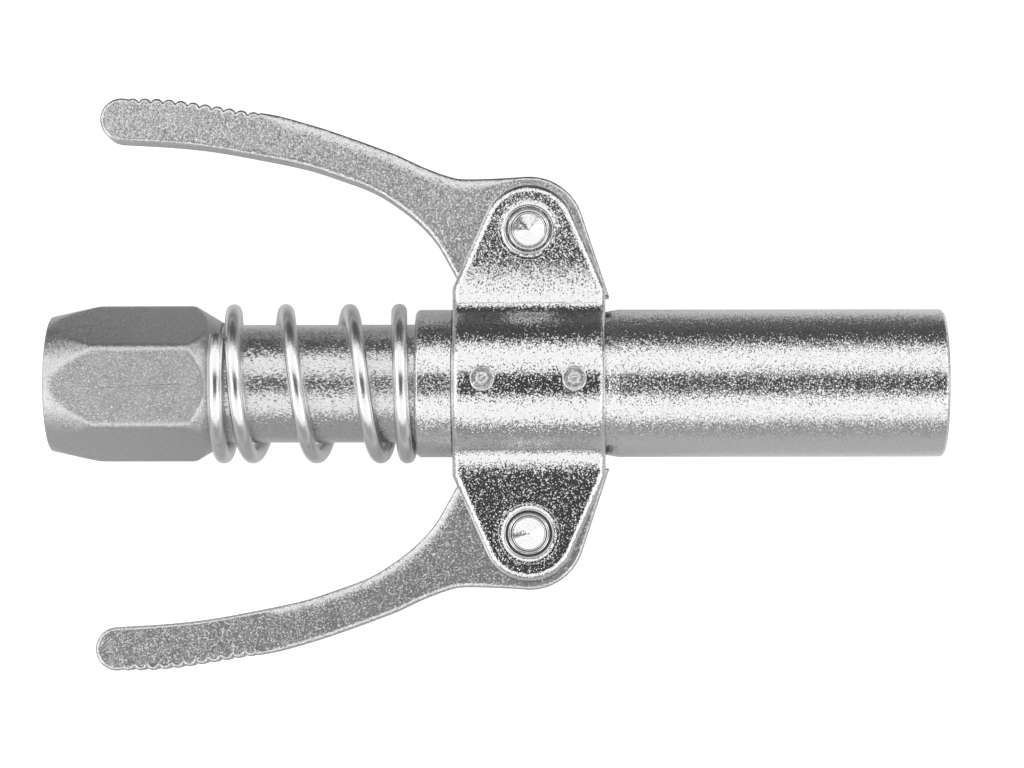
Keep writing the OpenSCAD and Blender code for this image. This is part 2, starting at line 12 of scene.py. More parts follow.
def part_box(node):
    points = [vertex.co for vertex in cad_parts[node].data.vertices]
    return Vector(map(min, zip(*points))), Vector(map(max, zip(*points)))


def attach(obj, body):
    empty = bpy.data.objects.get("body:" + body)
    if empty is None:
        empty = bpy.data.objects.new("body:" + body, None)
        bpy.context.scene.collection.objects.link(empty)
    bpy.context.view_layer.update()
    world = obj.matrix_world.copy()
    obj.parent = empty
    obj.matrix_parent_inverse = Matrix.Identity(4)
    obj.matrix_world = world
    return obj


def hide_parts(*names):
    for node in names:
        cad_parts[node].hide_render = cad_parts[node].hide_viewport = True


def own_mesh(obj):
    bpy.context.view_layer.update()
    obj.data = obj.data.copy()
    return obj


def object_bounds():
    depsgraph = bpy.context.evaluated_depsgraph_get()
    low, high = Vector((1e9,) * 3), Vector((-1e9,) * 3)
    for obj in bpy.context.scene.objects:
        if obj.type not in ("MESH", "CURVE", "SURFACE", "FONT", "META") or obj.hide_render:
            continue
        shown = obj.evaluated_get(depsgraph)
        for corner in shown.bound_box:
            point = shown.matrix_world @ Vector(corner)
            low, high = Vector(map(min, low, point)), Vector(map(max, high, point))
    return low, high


bl_info = {
    "name": "Grease coupler",
    "version": (1, 0, 0),
    "blender": (4, 5, 0),
    "location": "3D View > Sidebar > Coupler",
    "description": "Dresses a lock-on grease coupler and lights it in a small studio",
    "category": "Add Mesh",
}

MM = 0.001
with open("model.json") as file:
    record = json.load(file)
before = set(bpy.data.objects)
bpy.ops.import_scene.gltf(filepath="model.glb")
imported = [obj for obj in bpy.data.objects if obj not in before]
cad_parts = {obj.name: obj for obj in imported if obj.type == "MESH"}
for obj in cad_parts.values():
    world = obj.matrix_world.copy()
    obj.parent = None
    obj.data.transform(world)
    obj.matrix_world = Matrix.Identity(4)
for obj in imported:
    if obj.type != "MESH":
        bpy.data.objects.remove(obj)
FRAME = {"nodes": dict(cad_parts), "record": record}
CAD_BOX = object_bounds()

# Places taken from the frame
NUT_LOW, NUT_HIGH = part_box("inlet_nut")
TUBE_LOW, TUBE_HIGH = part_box("body_tube")
SPRING_LOW, SPRING_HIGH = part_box("return_spring")
SLEEVE_LOW, SLEEVE_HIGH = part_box("outer_sleeve")
CLAMP_LOW, CLAMP_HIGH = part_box("clamp_front")
PIN_LOW, PIN_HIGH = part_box("pivot_pin_upper")
PIVOT = (PIN_LOW + PIN_HIGH) / 2


def length(name, description, millimetres):
    """A length that a user may change, given in millimetres and kept in metres."""
    return FloatProperty(
        name=name, description=description, default=millimetres * MM,
        min=0.0, precision=5, unit="LENGTH", subtype="DISTANCE",
    )


def degrees(name, description, value):
    """An angle that a user may change, given in degrees and kept in radians."""
    return FloatProperty(
        name=name, description=description, default=math.radians(value),
        unit="ROTATION", subtype="ANGLE",
    )


def linear(code):
    """Turn an sRGB hex colour into Blender's linear red, green and blue."""
    parts = [int(code[i : i + 2], 16) / 255 for i in (0, 2, 4)]
    return tuple(p / 12.92 if p <= 0.04045 else ((p + 0.055) / 1.055) ** 2.4 for p in parts)


def colour(name, description, code):
    """A colour that a user may change, given as sRGB hex."""
    return FloatVectorProperty(
        name=name, description=description, default=linear(code),
        size=3, min=0.0, max=1.0, subtype="COLOR",
    )


class NutSettings(bpy.types.PropertyGroup):
    """Sizes of the hose nut"""

    flats: length("Across flats", "Width of the hexagon across its flats", 17.8)
    corner_r: length("Corner radius", "Radius that the hexagon's corners are turned to", 10.13)
    turn: degrees("Turn", "Angle that the hexagon stands turned from lying square", 6.0)
    face_r: length("Face radius", "Radius of the inlet face", 8.7)
    taper_len: length("Taper", "Length of the slender taper behind the hexagon", 6.5)
    cone_len: length("Cone", "Length of the cone in front of the hexagon", 3.7)
    nose_r: length("Nose radius", "Radius of the front face", 7.9)
    edge: length("Edge", "Easing of the edges between two flats", 0.7)
    crease: length("Crease", "Easing of the edges between the flats and the turned ends", 0.12)
    hole_r: length("Hole radius", "Radius of the tapped hole at the thread's crests", 4.35)
    hole_depth: length("Hole depth", "Depth of the tapped hole", 10.5)
    thread_pitch: length("Thread pitch", "Distance between two threads", 0.94)
    thread_depth: length("Thread depth", "Depth of the thread's grooves", 0.62)
    socket_r: length("Socket radius", "Radius of the socket for the tube", 6.23)
    socket_x: length("Socket floor", "Distance from the inlet face to the socket's floor", 12.3)
    passage_r: length("Passage radius", "Radius of the grease passage", 1.8)


class TubeSettings(bpy.types.PropertyGroup):
    """Sizes of the body tube"""

    radius: length("Radius", "Radius of the drawn tube", 7.625)
    spigot_r: length("Spigot radius", "Radius of the spigot inside the nut", 6.2)
    groove_half: length("Groove half width", "Half the width of the levers' groove", 1.6)
    groove_r: length("Groove radius", "Radius at the floor of the levers' groove", 5.2)
    groove_back: length("Groove setback", "Distance of the groove's middle behind the pivots", 2.188)
    shoulder_back: length("Nose length", "Length of the slim nose that carries the jaws", 8.0)
    nose_r: length("Nose radius", "Radius of the nose", 4.9)
    hook_x: length("Hook groove", "Distance from the nose's front to the middle of the hook groove", 4.0)
    hook_half: length("Hook groove half width", "Half the width of the hook groove", 0.9)
    hook_depth: length("Hook groove depth", "Depth of the hook groove", 0.7)
    chamber_r: length("Chamber radius", "Radius of the seal carrier's chamber", 3.3)
    chamber_len: length("Chamber length", "Length from the valve seat to the nose's front", 19.0)


class SpringSettings(bpy.types.PropertyGroup):
    """Sizes of the return spring and the small inner springs"""

    wire_r: length("Wire radius", "Radius of the return spring's wire", 1.03)
    coil_r: length("Coil radius", "Radius from the axis to the wire's middle", 9.3)
    turns: FloatProperty(name="Turns", description="Turns from end to end", default=4.5)
    start: FloatProperty(name="Start", description="Turn where the wire starts, from the top", default=0.15)
    small_wire_r: length("Small wire radius", "Radius of the small springs' wire", 0.25)


class SleeveSettings(bpy.types.PropertyGroup):
    """Sizes of the outer sleeve"""

    bore_r: length("Bore radius", "Radius of the sleeve's bore", 7.7)
    band_r: length("Band radius", "Radius of the band under the clamp", 8.7)
    ramp_len: length("Ramp length", "Length of the ramp in front of the band", 1.7)
    ramp_rise: length("Ramp rise", "Height of the ramp in front of the band", 0.28)
    chamfer: length("Chamfer", "Chamfer on the sleeve's ends", 0.4)
    mouth_r: length("Mouth radius", "Radius of the mouth at the front face", 8.7)
    mouth_angle: degrees("Mouth angle", "Half angle of the cone in the mouth", 12.0)
    slot_half: length("Slot half length", "Half the length of the slots for the toes", 3.8)
    slot_width: length("Slot width", "Width of the slots for the toes", 5.4)


class ClampSettings(bpy.types.PropertyGroup):
    """Sizes of the stamped clamp"""

    sheet: length("Sheet", "Thickness of the sheet", 1.6)
    inner_r: length("Inner radius", "Radius inside the barrel", 8.73)
    ear_z: length("Ear height", "Height of the ear's inner face over the middle plane", 2.65)
    bend_r: length("Bend radius", "Radius of the bend between barrel and ear", 4.4)
    flank: length("Flank", "Length of the ear's straight flank", 0.1)
    lift: length("Lift", "How far the foot of an ear stays off its plane", 0.24)
    lift_len: length("Lift length", "How far along the ear the lift fades", 4.0)
    ear_r: length("Ear radius", "Radius of the ear's round end", 5.95)
    corner: length("Corner", "Rounding of the ear's base corners", 1.2)
    rim: length("Rim", "Rounding of the outer edges", 0.95)
    boss_r: length("Boss radius", "Radius of the boss round each pin", 3.9)
    boss_rise: length("Boss rise", "Height of the boss", 0.14)
    stake_r: length("Stake radius", "Radius of a stake mark", 1.58)
    stake_gap: length("Stake spacing", "Distance between the two stake marks", 11.7)
    hole_r: length("Hole radius", "Radius of the pin's hole", 2.53)


class PinSettings(bpy.types.PropertyGroup):
    """Sizes of the pivot pins"""

    radius: length("Radius", "Radius of the pin", 2.5)
    head_r: length("Head radius", "Radius of the head", 3.2)
    head_len: length("Head height", "Height of the head", 0.6)


class LeverSettings(bpy.types.PropertyGroup):
    """Finish of the levers' edges"""

    rim: length("Rim", "Rounding of the levers' edges", 0.45)
    high_reach: FloatProperty(
        name="High reach", description="Width over height of the rim that faces +Y", default=3.4
    )
    low_reach: FloatProperty(
        name="Low reach", description="Width over height of the rim that faces -Y", default=1.5
    )
    arm_start: length("Arm start", "Where the teeth end and the wide rim begins", 27.5)
    arm_end: length("Arm end", "Where the wide rim ends at the hub", 60.0)


class InnerSettings(bpy.types.PropertyGroup):
    """Finish of the pieces inside"""

    edge: length("Edge", "Bevel on the edges of the inner pieces", 0.12)


class FinishSettings(bpy.types.PropertyGroup):
    """Colours of the finishes"""

    nut: colour("Nut", "Machined steel, zinc plated", "d9d9da")
    tube: colour("Tube", "Drawn steel", "e2e2e3")
    wire: colour("Wire", "Plated spring wire", "f4f4f5")
    sleeve: colour("Sleeve", "Zinc plate on a turned tube", "f0f0f1")
    sheet: colour("Sheet", "Zinc plate on stamped sheet", "ededee")
    pin: colour("Pin", "Turned bright steel", "f2f2f2")
    lever: colour("Lever", "Tumbled stamped steel", "e2e2e3")
    hardened: colour("Hardened", "Hardened steel", "8c8c8f")
    brass: colour("Brass", "Turned brass", "d9b46a")
    copper: colour("Copper", "Annealed copper", "d9946c")
    rubber: colour("Rubber", "Nitrile rubber", "1c1c1d")


class StudioSettings(bpy.types.PropertyGroup):
    """Camera, lamps and floor"""

    lens: FloatProperty(name="Lens", description="Focal length", default=116.0, unit="CAMERA")
    distance: length("Distance", "Distance from the camera to the coupler's axis", 426.7)
    aim_x: length("Aim along", "Place along the coupler that the camera aims at", 59.6)
    aim_y: FloatProperty(
        name="Aim across", description="Place across the coupler that the camera aims at",
        default=-0.073 * MM, unit="LENGTH", subtype="DISTANCE",
    )
    tilt: degrees("Tilt", "Lean of the view towards the lower lever", 3.7)
    yaw: degrees("Yaw", "Lean of the view towards the mouth", 1.2)
    lamp_level: FloatProperty(name="Lamp level", description="Brightness of the lamps' faces", default=1.02)
    lamp_distance: length("Lamp distance", "Distance of the lamps from the coupler", 800.0)
    lamp_len: length("Lamp length", "Length of the lamps along the coupler", 3000.0)
    floor: colour("Floor", "Pale floor", "f2f2f2")
    floor_glow: FloatProperty(
        name="Floor glow", description="What the camera sees on top of the floor's light", default=0.68
    )


# Outlines and surfaces

STEADY = 0.03 * MM
TINY = 1e-7
MERGE = 1e-6
SHARP = math.radians(38)


def rounded(outline, closed=True, steps=4):
    """Round an outline whose points are (x, y, corner radius)."""
    result = []
    last = len(outline) - 1
    for i, (x, y, size) in enumerate(outline):
        here = Vector((x, y))
        if size <= 0 or (not closed and i in (0, last)):
            result.append(here)
            continue
        back = Vector(outline[i - 1][:2]) - here
        ahead = Vector(outline[(i + 1) % (last + 1)][:2]) - here
        half = back.angle(ahead) / 2
        reach = min(size / math.tan(half), 0.45 * back.length, 0.45 * ahead.length)
        radius = reach * math.tan(half)
        middle = (back.normalized() + ahead.normalized()).normalized()
        centre = here + middle * radius / math.sin(half)
        start = here + back.normalized() * reach - centre
        end = here + ahead.normalized() * reach - centre
        turn = math.atan2(start.x * end.y - start.y * end.x, start.dot(end))
        for k in range(steps + 1):
            c, s = math.cos(turn * k / steps), math.sin(turn * k / steps)
            result.append(centre + Vector((start.x * c - start.y * s, start.x * s + start.y * c)))
    return result


def steadied(points, closed=True, longest=1.0):
    """Add points close to both ends of each stretch, so that shading stays even between them."""
    result = []
    count = len(points)
    for i in range(count if closed else count - 1):
        a, b = points[i], points[(i + 1) % count]
        span = b - a
        result.append(a)
        if span.length > 4 * STEADY:
            near = span.normalized() * STEADY
            pieces = max(1, math.ceil(span.length / longest))
            result.append(a + near)
            result += [a + span * k / pieces for k in range(1, pieces)]
            result.append(b - near)
    if not closed:
        result.append(points[-1])
    return result


def along_x(x, radius, angle):
    """Place on a surface turned about the coupler's axis, with angle 0 at +Y and a quarter turn at +Z."""
    return (x, radius * math.cos(angle), radius * math.sin(angle))


def upright(centre):
    """Place on a surface turned about an upright axis through a centre."""
    return lambda z, radius, angle: (
        centre[0] + radius * math.cos(angle), centre[1] + radius * math.sin(angle), z
    )


class Shells:
    """Closed surfaces gathered for one mesh."""

    def __init__(self):
        self.points = []
        self.faces = []

    def turn(self, outline, segments, place, shape=None):
        """Add a surface turned from (along, radius) points, closed at its poles or into a ring."""
        rings = []
        for along, radius in outline:
            start = len(self.points)
            if radius < TINY:
                self.points.append(place(along, 0.0, 0.0))
                rings.append([start])
                continue
            for k in range(segments):
                angle = math.tau * k / segments
                reach = shape(along, radius, angle) if shape else radius
                self.points.append(place(along, reach, angle))
            rings.append(list(range(start, start + segments)))
        ring_shaped = len(rings[0]) > 1 and len(rings[-1]) > 1
        followers = rings[1:] + (rings[:1] if ring_shaped else [])
        for a, b in zip(rings, followers):
            for k in range(segments):
                n = (k + 1) % segments
                if len(a) == 1:
                    self.faces.append((a[0], b[n], b[k]))
                elif len(b) == 1:
                    self.faces.append((a[k], a[n], b[0]))
                else:
                    self.faces.append((a[k], a[n], b[n], b[k]))

    def join(self, mesh):
        """Add a bmesh and free it."""
        start = len(self.points)
        mesh.verts.index_update()
        self.points += [vert.co.copy() for vert in mesh.verts]
        self.faces += [tuple(start + vert.index for vert in face.verts) for face in mesh.faces]
        mesh.free()

    def mirrored(self):
        """The same surfaces turned half a turn about the coupler's axis."""
        other = Shells()
        other.points = [(p[0], -p[1], -p[2]) for p in self.points]
        other.faces = list(self.faces)
        return other


def bridge(mesh, rings, capped=False):
    """Join rings of vertices with faces, and close both ends where asked."""
    for a, b in zip(rings, rings[1:]):
        for k in range(len(a)):
            n = (k + 1) % len(a)
            mesh.faces.new((a[k], a[n], b[n], b[k]))
    if capped:
        mesh.faces.new(rings[0])
        mesh.faces.new(rings[-1])


def inset(points, distance, reach=None):
    """Move an outline that runs anticlockwise inwards, each point by its own reach."""
    result = []
    count = len(points)
    for i, point in enumerate(points):
        before = (point - points[i - 1]).normalized()
        after = (points[(i + 1) % count] - point).normalized()
        first, second = Vector((-before.y, before.x)), Vector((-after.y, after.x))
        step = distance * (reach[i] if reach else 1)
        result.append(point + (first + second) * step / max(1 + first.dot(second), 0.3))
    return result


def rounded_plate(loops, low, high, low_rim, high_rim, reach=None, steps=6):
    """A plate between two heights with rounded rims, from an outline and the outlines of its holes.

    Reach says how many times wider than high the rim is at each point of the outline.
    """
    levels = [(low_rim + STEADY, low)]
    for k in range(steps + 1):
        a = math.pi / 2 * k / steps
        levels.append((low_rim * (1 - math.sin(a)), low + low_rim * (1 - math.cos(a))))
    levels += [(0.0, low + low_rim + STEADY), (0.0, high - high_rim - STEADY)]
    for k in range(steps + 1):
        a = math.pi / 2 * k / steps
        levels.append((high_rim * (1 - math.cos(a)), high - high_rim * (1 - math.sin(a))))
    levels.append((high_rim + STEADY, high))
    mesh = bmesh.new()
    floor, roof = [], []
    for loop in loops:
        own_reach = reach if loop is loops[0] else None
        rings = [
            [mesh.verts.new((p.x, p.y, height)) for p in inset(loop, distance, own_reach)]
            for distance, height in levels
        ]
        bridge(mesh, rings)
        for ring, cap in ((rings[0], floor), (rings[-1], roof)):
            cap += [mesh.edges.get((ring[k - 1], ring[k])) for k in range(len(ring))]
    for cap in (floor, roof):
        bmesh.ops.triangle_fill(mesh, use_beauty=True, use_dissolve=False, edges=cap)
    return mesh


def scratch(points, ups, wide, high):
    """A fine burr along some points: a low ridge whose ends run out."""
    mesh = bmesh.new()
    rings = []
    last = len(points) - 1
    sunk = 0.02 * MM
    for k, (point, up) in enumerate(zip(points, ups)):
        along = points[min(k + 1, last)] - points[max(k - 1, 0)]
        across = along.cross(up).normalized() * wide / 2
        peak = high * min(1, 6 * k / len(points), 6 * (last - k) / len(points))
        section = (point - across - up * sunk, point + up * peak, point + across - up * sunk)
        rings.append([mesh.verts.new(p) for p in section])
    bridge(mesh, rings, capped=True)
    return mesh


def add_object(name, data):
    """Add an object to the scene."""
    added = bpy.data.objects.new(name, data)
    bpy.context.scene.collection.objects.link(added)
    return added


def as_modified(piece):
    """A plain mesh of a piece as its modifiers leave it."""
    bpy.context.view_layer.update()
    evaluated = piece.evaluated_get(bpy.context.evaluated_depsgraph_get())
    return bpy.data.meshes.new_from_object(evaluated)


def finish_piece(piece, material, body, nodes):
    """Shade a piece, give it its finish, tie it to its body and hide the nodes that it stands for."""
    mesh = bmesh.new()
    mesh.from_mesh(piece.data)
    bmesh.ops.recalc_face_normals(mesh, faces=mesh.faces)
    mesh.to_mesh(piece.data)
    mesh.free()
    piece.data.shade_smooth()
    piece.data.set_sharp_from_angle(angle=SHARP)
    piece.data.materials.clear()
    piece.data.materials.append(bpy.data.materials[material])
    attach(piece, body)
    if nodes:
        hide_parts(*nodes)
    return piece


def make_piece(name, shells, material, body, *nodes):
    """Make a finished piece from shells."""
    mesh = bpy.data.meshes.new(name)
    mesh.from_pydata([tuple(p) for p in shells.points], [], shells.faces)
    return finish_piece(add_object(name, mesh), material, body, nodes)


def node_body(node):
    """The body that carries a node."""
    bodies = FRAME["record"]["behaviour"]["bodies"]
    return next(name for name, held in bodies.items() if node in held)


# Finishes


def add_node(tree, kind, settings=None, **inputs):
    """Add a node, set its settings, and set or link its inputs, named as the sockets are."""
    node = tree.nodes.new(kind)
    for name, value in (settings or {}).items():
        setattr(node, name, value)
    for name, value in inputs.items():
        socket = node.inputs[int(name[1:])] if name[0] == "i" and name[1:].isdigit() else node.inputs[name]
        if isinstance(value, bpy.types.NodeSocket):
            tree.links.new(value, socket)
        else:
            socket.default_value = value
    return node


def per_mm(size):
    """Scale of a texture whose grains are that many millimetres, on coordinates in metres."""
    return 1.0 / (size * MM)


def fresh_material(name):
    """A new material with an empty tree, under the name that the frame's plain one gives up."""
    plain = bpy.data.materials.get(name)
    if plain:
        plain.name = name + "_plain"
    material = bpy.data.materials.new(name)
    material.use_nodes = True
    material.node_tree.nodes.clear()
    return material


def metal(name, tint, grain_mm, lean, depth_mm=0.004, stretch=(1, 1, 1), roughness=(0.2, 0.3), mottle=0.06):
    """A metal of fine crystals, each leaning its own way, over a shallow relief.

    The crystals are drawn coarser than zinc's real ones, 0.1 to 0.2 mm, so that their sparkle shows.
    """
    material = fresh_material(name)
    tree = material.node_tree
    place = add_node(tree, "ShaderNodeTexCoord").outputs["Object"]
    if stretch != (1, 1, 1):
        place = add_node(tree, "ShaderNodeMapping", Vector=place, Scale=stretch).outputs["Vector"]
    fine = add_node(
        tree, "ShaderNodeTexNoise", Vector=place,
        Scale=per_mm(grain_mm), Detail=1.0, Roughness=0.7,
    ).outputs["Fac"]
    broad = add_node(
        tree, "ShaderNodeTexNoise", Vector=place,
        Scale=per_mm(18 * grain_mm), Detail=3.0,
    ).outputs["Fac"]
    rough = add_node(
        tree, "ShaderNodeMapRange", Value=broad,
        **{"From Min": 0.3, "From Max": 0.7, "To Min": roughness[0], "To Max": roughness[1]},
    ).outputs["Result"]
    shade = add_node(
        tree, "ShaderNodeMapRange", Value=fine,
        **{"From Min": 0.3, "From Max": 0.7, "To Min": 1 - mottle, "To Max": 1 + mottle},
    ).outputs["Result"]
    base = add_node(
        tree, "ShaderNodeMix", {"data_type": "RGBA", "blend_type": "MULTIPLY", "clamp_result": True},
        i0=1.0, i6=(*tint, 1.0), i7=shade,
    ).outputs[2]
    crystals = add_node(
        tree, "ShaderNodeTexVoronoi", Vector=place, Scale=per_mm(grain_mm),
    ).outputs["Color"]
    even = add_node(
        tree, "ShaderNodeVectorMath", {"operation": "MULTIPLY_ADD"},
        i0=crystals, i1=(2, 2, 2), i2=(-1, -1, -1),
    ).outputs["Vector"]
    # Cubed, so that most crystals lie nearly flat and a few lean far
    product = {"operation": "MULTIPLY"}
    square = add_node(tree, "ShaderNodeVectorMath", product, i0=even, i1=even).outputs["Vector"]
    cube = add_node(tree, "ShaderNodeVectorMath", product, i0=square, i1=even).outputs["Vector"]
    face = add_node(tree, "ShaderNodeNewGeometry").outputs["Normal"]
    tipped = add_node(
        tree, "ShaderNodeVectorMath", {"operation": "MULTIPLY_ADD"}, i0=cube, i1=(lean, lean, lean), i2=face
    ).outputs["Vector"]
    facing = add_node(tree, "ShaderNodeVectorMath", {"operation": "NORMALIZE"}, i0=tipped).outputs["Vector"]
    relief = add_node(
        tree, "ShaderNodeBump", Height=fine, Strength=1.0, Distance=depth_mm * MM, Normal=facing,
    ).outputs["Normal"]
    surface = add_node(
        tree, "ShaderNodeBsdfPrincipled", Metallic=1.0, Roughness=rough, Normal=relief,
        **{"Base Color": base},
    )
    add_node(tree, "ShaderNodeOutputMaterial", Surface=surface.outputs["BSDF"])
    return material


def make_finishes(finish):
    """Make every finish of the coupler."""
    # Hexagon bar, turned and flat milled, then dull zinc plated: satin with a fine blasted speckle
    metal("machined_steel", finish.nut, 0.12, 0.2, 0.006, roughness=(0.36, 0.42), mottle=0.16)
    # Annealed copper, soft and pink
    metal("copper_washer", finish.copper, 0.2, 0.05, roughness=(0.35, 0.45))
    # Drawn tube: satin bright, with a grain along its length
    metal("drawn_steel", finish.tube, 0.11, 0.24, 0.006, stretch=(0.5, 1, 1), roughness=(0.22, 0.265))
    # Hard drawn wire, plated: smooth, with a satin gloss
    metal("spring_wire", finish.wire, 0.2, 0.03, roughness=(0.22, 0.26), mottle=0.03)
    # Turned and polished tube, bright zinc plate with a slight haze
    metal("zinc_sleeve", finish.sleeve, 0.12, 0.24, 0.008, roughness=(0.15, 0.19), mottle=0.06)
    # Stamped sheet, tumbled before plating: bright with a coarse speckle
    metal("zinc_sheet", finish.sheet, 0.14, 0.2, 0.01, roughness=(0.08, 0.12), mottle=0.08)
    # Turned head, bright with concentric tool marks
    metal("turned_pin", finish.pin, 0.16, 0.04, roughness=(0.12, 0.18))
    # Stamped plate, tumbled: satin with a fine even grain
    metal("stamped_steel", finish.lever, 0.14, 0.2, 0.006, roughness=(0.28, 0.31), mottle=0.3)
    # Hardened and oiled steel, dark satin
    metal("hardened_steel", finish.hardened, 0.2, 0.05, roughness=(0.3, 0.42))
    # Turned brass: a yellow metal with a satin gloss
    metal("carrier_brass", finish.brass, 0.2, 0.03, roughness=(0.22, 0.32))
    tree = fresh_material("seal_rubber").node_tree
    place = add_node(tree, "ShaderNodeTexCoord").outputs["Object"]
    # Moulded nitrile rubber: matt black with the mould's fine texture
    skin = add_node(tree, "ShaderNodeTexNoise", Vector=place, Scale=per_mm(0.1), Detail=3.0).outputs["Fac"]
    relief = add_node(tree, "ShaderNodeBump", Height=skin, Strength=0.3, Distance=0.01 * MM).outputs["Normal"]
    surface = add_node(
        tree, "ShaderNodeBsdfPrincipled", Roughness=0.55, Normal=relief,
        **{"Base Color": (*finish.rubber, 1.0)},
    )
    add_node(tree, "ShaderNodeOutputMaterial", Surface=surface.outputs["BSDF"])


# Springs


def spring_tree(name, shares, material):
    """A tree that bends a wire round the axis; shares give its place at even steps from end to end."""
    tree = bpy.data.node_groups.new(name, "GeometryNodeTree")
    interface = tree.interface
    for label in ("First Place", "Last Place", "Coil Radius", "Wire Radius", "Start Turn", "Turns"):
        interface.new_socket(label, in_out="INPUT", socket_type="NodeSocketFloat")
    for label in ("Steps", "Sides"):
        interface.new_socket(label, in_out="INPUT", socket_type="NodeSocketInt")
    interface.new_socket("Wire", in_out="OUTPUT", socket_type="NodeSocketGeometry")
    given = add_node(tree, "NodeGroupInput").outputs
    line = add_node(tree, "GeometryNodeCurvePrimitiveLine", End=(1.0, 0.0, 0.0)).outputs["Curve"]
    path = add_node(tree, "GeometryNodeResampleCurve", Curve=line, Count=given["Steps"]).outputs["Curve"]
    share = add_node(tree, "GeometryNodeSplineParameter").outputs["Factor"]
    pitch = add_node(tree, "ShaderNodeFloatCurve", Value=share)
    points = pitch.mapping.curves[0].points
    for spot, value in shares[1:-1]:
        points.new(spot, value)
    pitch.mapping.update()
    along = add_node(
        tree, "ShaderNodeMapRange", Value=pitch.outputs["Value"],
        **{"To Min": given["First Place"], "To Max": given["Last Place"]},
    ).outputs["Result"]
    turned = add_node(
        tree, "ShaderNodeMath", {"operation": "MULTIPLY_ADD"},
        i0=share, i1=given["Turns"], i2=given["Start Turn"],
    ).outputs[0]
    angle = add_node(tree, "ShaderNodeMath", {"operation": "MULTIPLY"}, i0=turned, i1=math.tau).outputs[0]
    sides = []
    for operation in ("COSINE", "SINE"):
        wave = add_node(tree, "ShaderNodeMath", {"operation": operation}, i0=angle).outputs[0]
        sides.append(add_node(
            tree, "ShaderNodeMath", {"operation": "MULTIPLY"}, i0=wave, i1=given["Coil Radius"]
        ).outputs[0])
    spot = add_node(tree, "ShaderNodeCombineXYZ", X=along, Y=sides[0], Z=sides[1]).outputs["Vector"]
    coil = add_node(tree, "GeometryNodeSetPosition", Geometry=path, Position=spot).outputs["Geometry"]
    section = add_node(
        tree, "GeometryNodeCurvePrimitiveCircle", Resolution=given["Sides"], Radius=given["Wire Radius"],
    ).outputs["Curve"]
    wire = add_node(
        tree, "GeometryNodeCurveToMesh",
        **{"Curve": coil, "Profile Curve": section, "Fill Caps": True},
    ).outputs["Mesh"]
    real = add_node(tree, "GeometryNodeRealizeInstances", Geometry=wire).outputs["Geometry"]
    done = add_node(
        tree, "GeometryNodeSetMaterial", Geometry=real, Material=bpy.data.materials[material],
    ).outputs["Geometry"]
    add_node(tree, "NodeGroupOutput", Wire=done)
    return tree


def make_spring(name, shares, sizes, material, cut):
    """Make a spring from its tree, as a plain mesh with its wire's cut ends eased."""
    tree = spring_tree(name + "_path", shares, material)
    seed = add_object(name + "_seed", bpy.data.meshes.new(name + "_seed"))
    modifier = seed.modifiers.new("path", "NODES")
    modifier.node_group = tree
    for item in tree.interface.items_tree:
        if item.in_out == "INPUT":
            modifier[item.identifier] = sizes[item.name]
    plain = as_modified(seed)
    bpy.data.objects.remove(seed)
    mesh = bmesh.new()
    mesh.from_mesh(plain)
    bmesh.ops.remove_doubles(mesh, verts=mesh.verts, dist=TINY)
    ends = [face for face in mesh.faces if len(face.verts) > 4]
    rims = {edge for face in ends for edge in face.edges}
    if cut > 0:
        bmesh.ops.bevel(mesh, geom=list(rims), offset=cut, segments=2, affect="EDGES", profile=0.5)
    mesh.to_mesh(plain)
    mesh.free()
    return add_object(name, plain)


# Nut


def soft_min(values, ease):
    """The least of some values, eased where two come close."""
    result = values[0]
    for value in values[1:]:
        share = min(max(0.5 + 0.5 * (value - result) / ease, 0.0), 1.0)
        result = value * (1 - share) + result * share - ease * share * (1 - share)
    return result


def nut_shape(s):
    """How the nut's rings leave the round: hexagon flats outside, thread inside."""

    def shape(along, radius, angle):
        if abs(radius - s.hole_r) < TINY:
            turn = along / s.thread_pitch - angle / math.tau
            wave = 1 - abs(2 * (turn - math.floor(turn)) - 1)
            runout = min(1.0, max(0.0, (s.hole_depth - along) / s.thread_pitch))
            return radius + s.thread_depth * runout * min(max(1.3 * wave - 0.15, 0.0), 1.0)
        if radius < s.socket_r + s.edge:
            return radius
        sixth = math.pi / 3
        off = ((angle - s.turn) % sixth) - sixth / 2
        flats = [s.flats / 2 / math.cos(off + side * sixth) for side in (0, math.copysign(1, -off))]
        return soft_min([soft_min(flats, s.edge), radius], s.crease)

    return shape


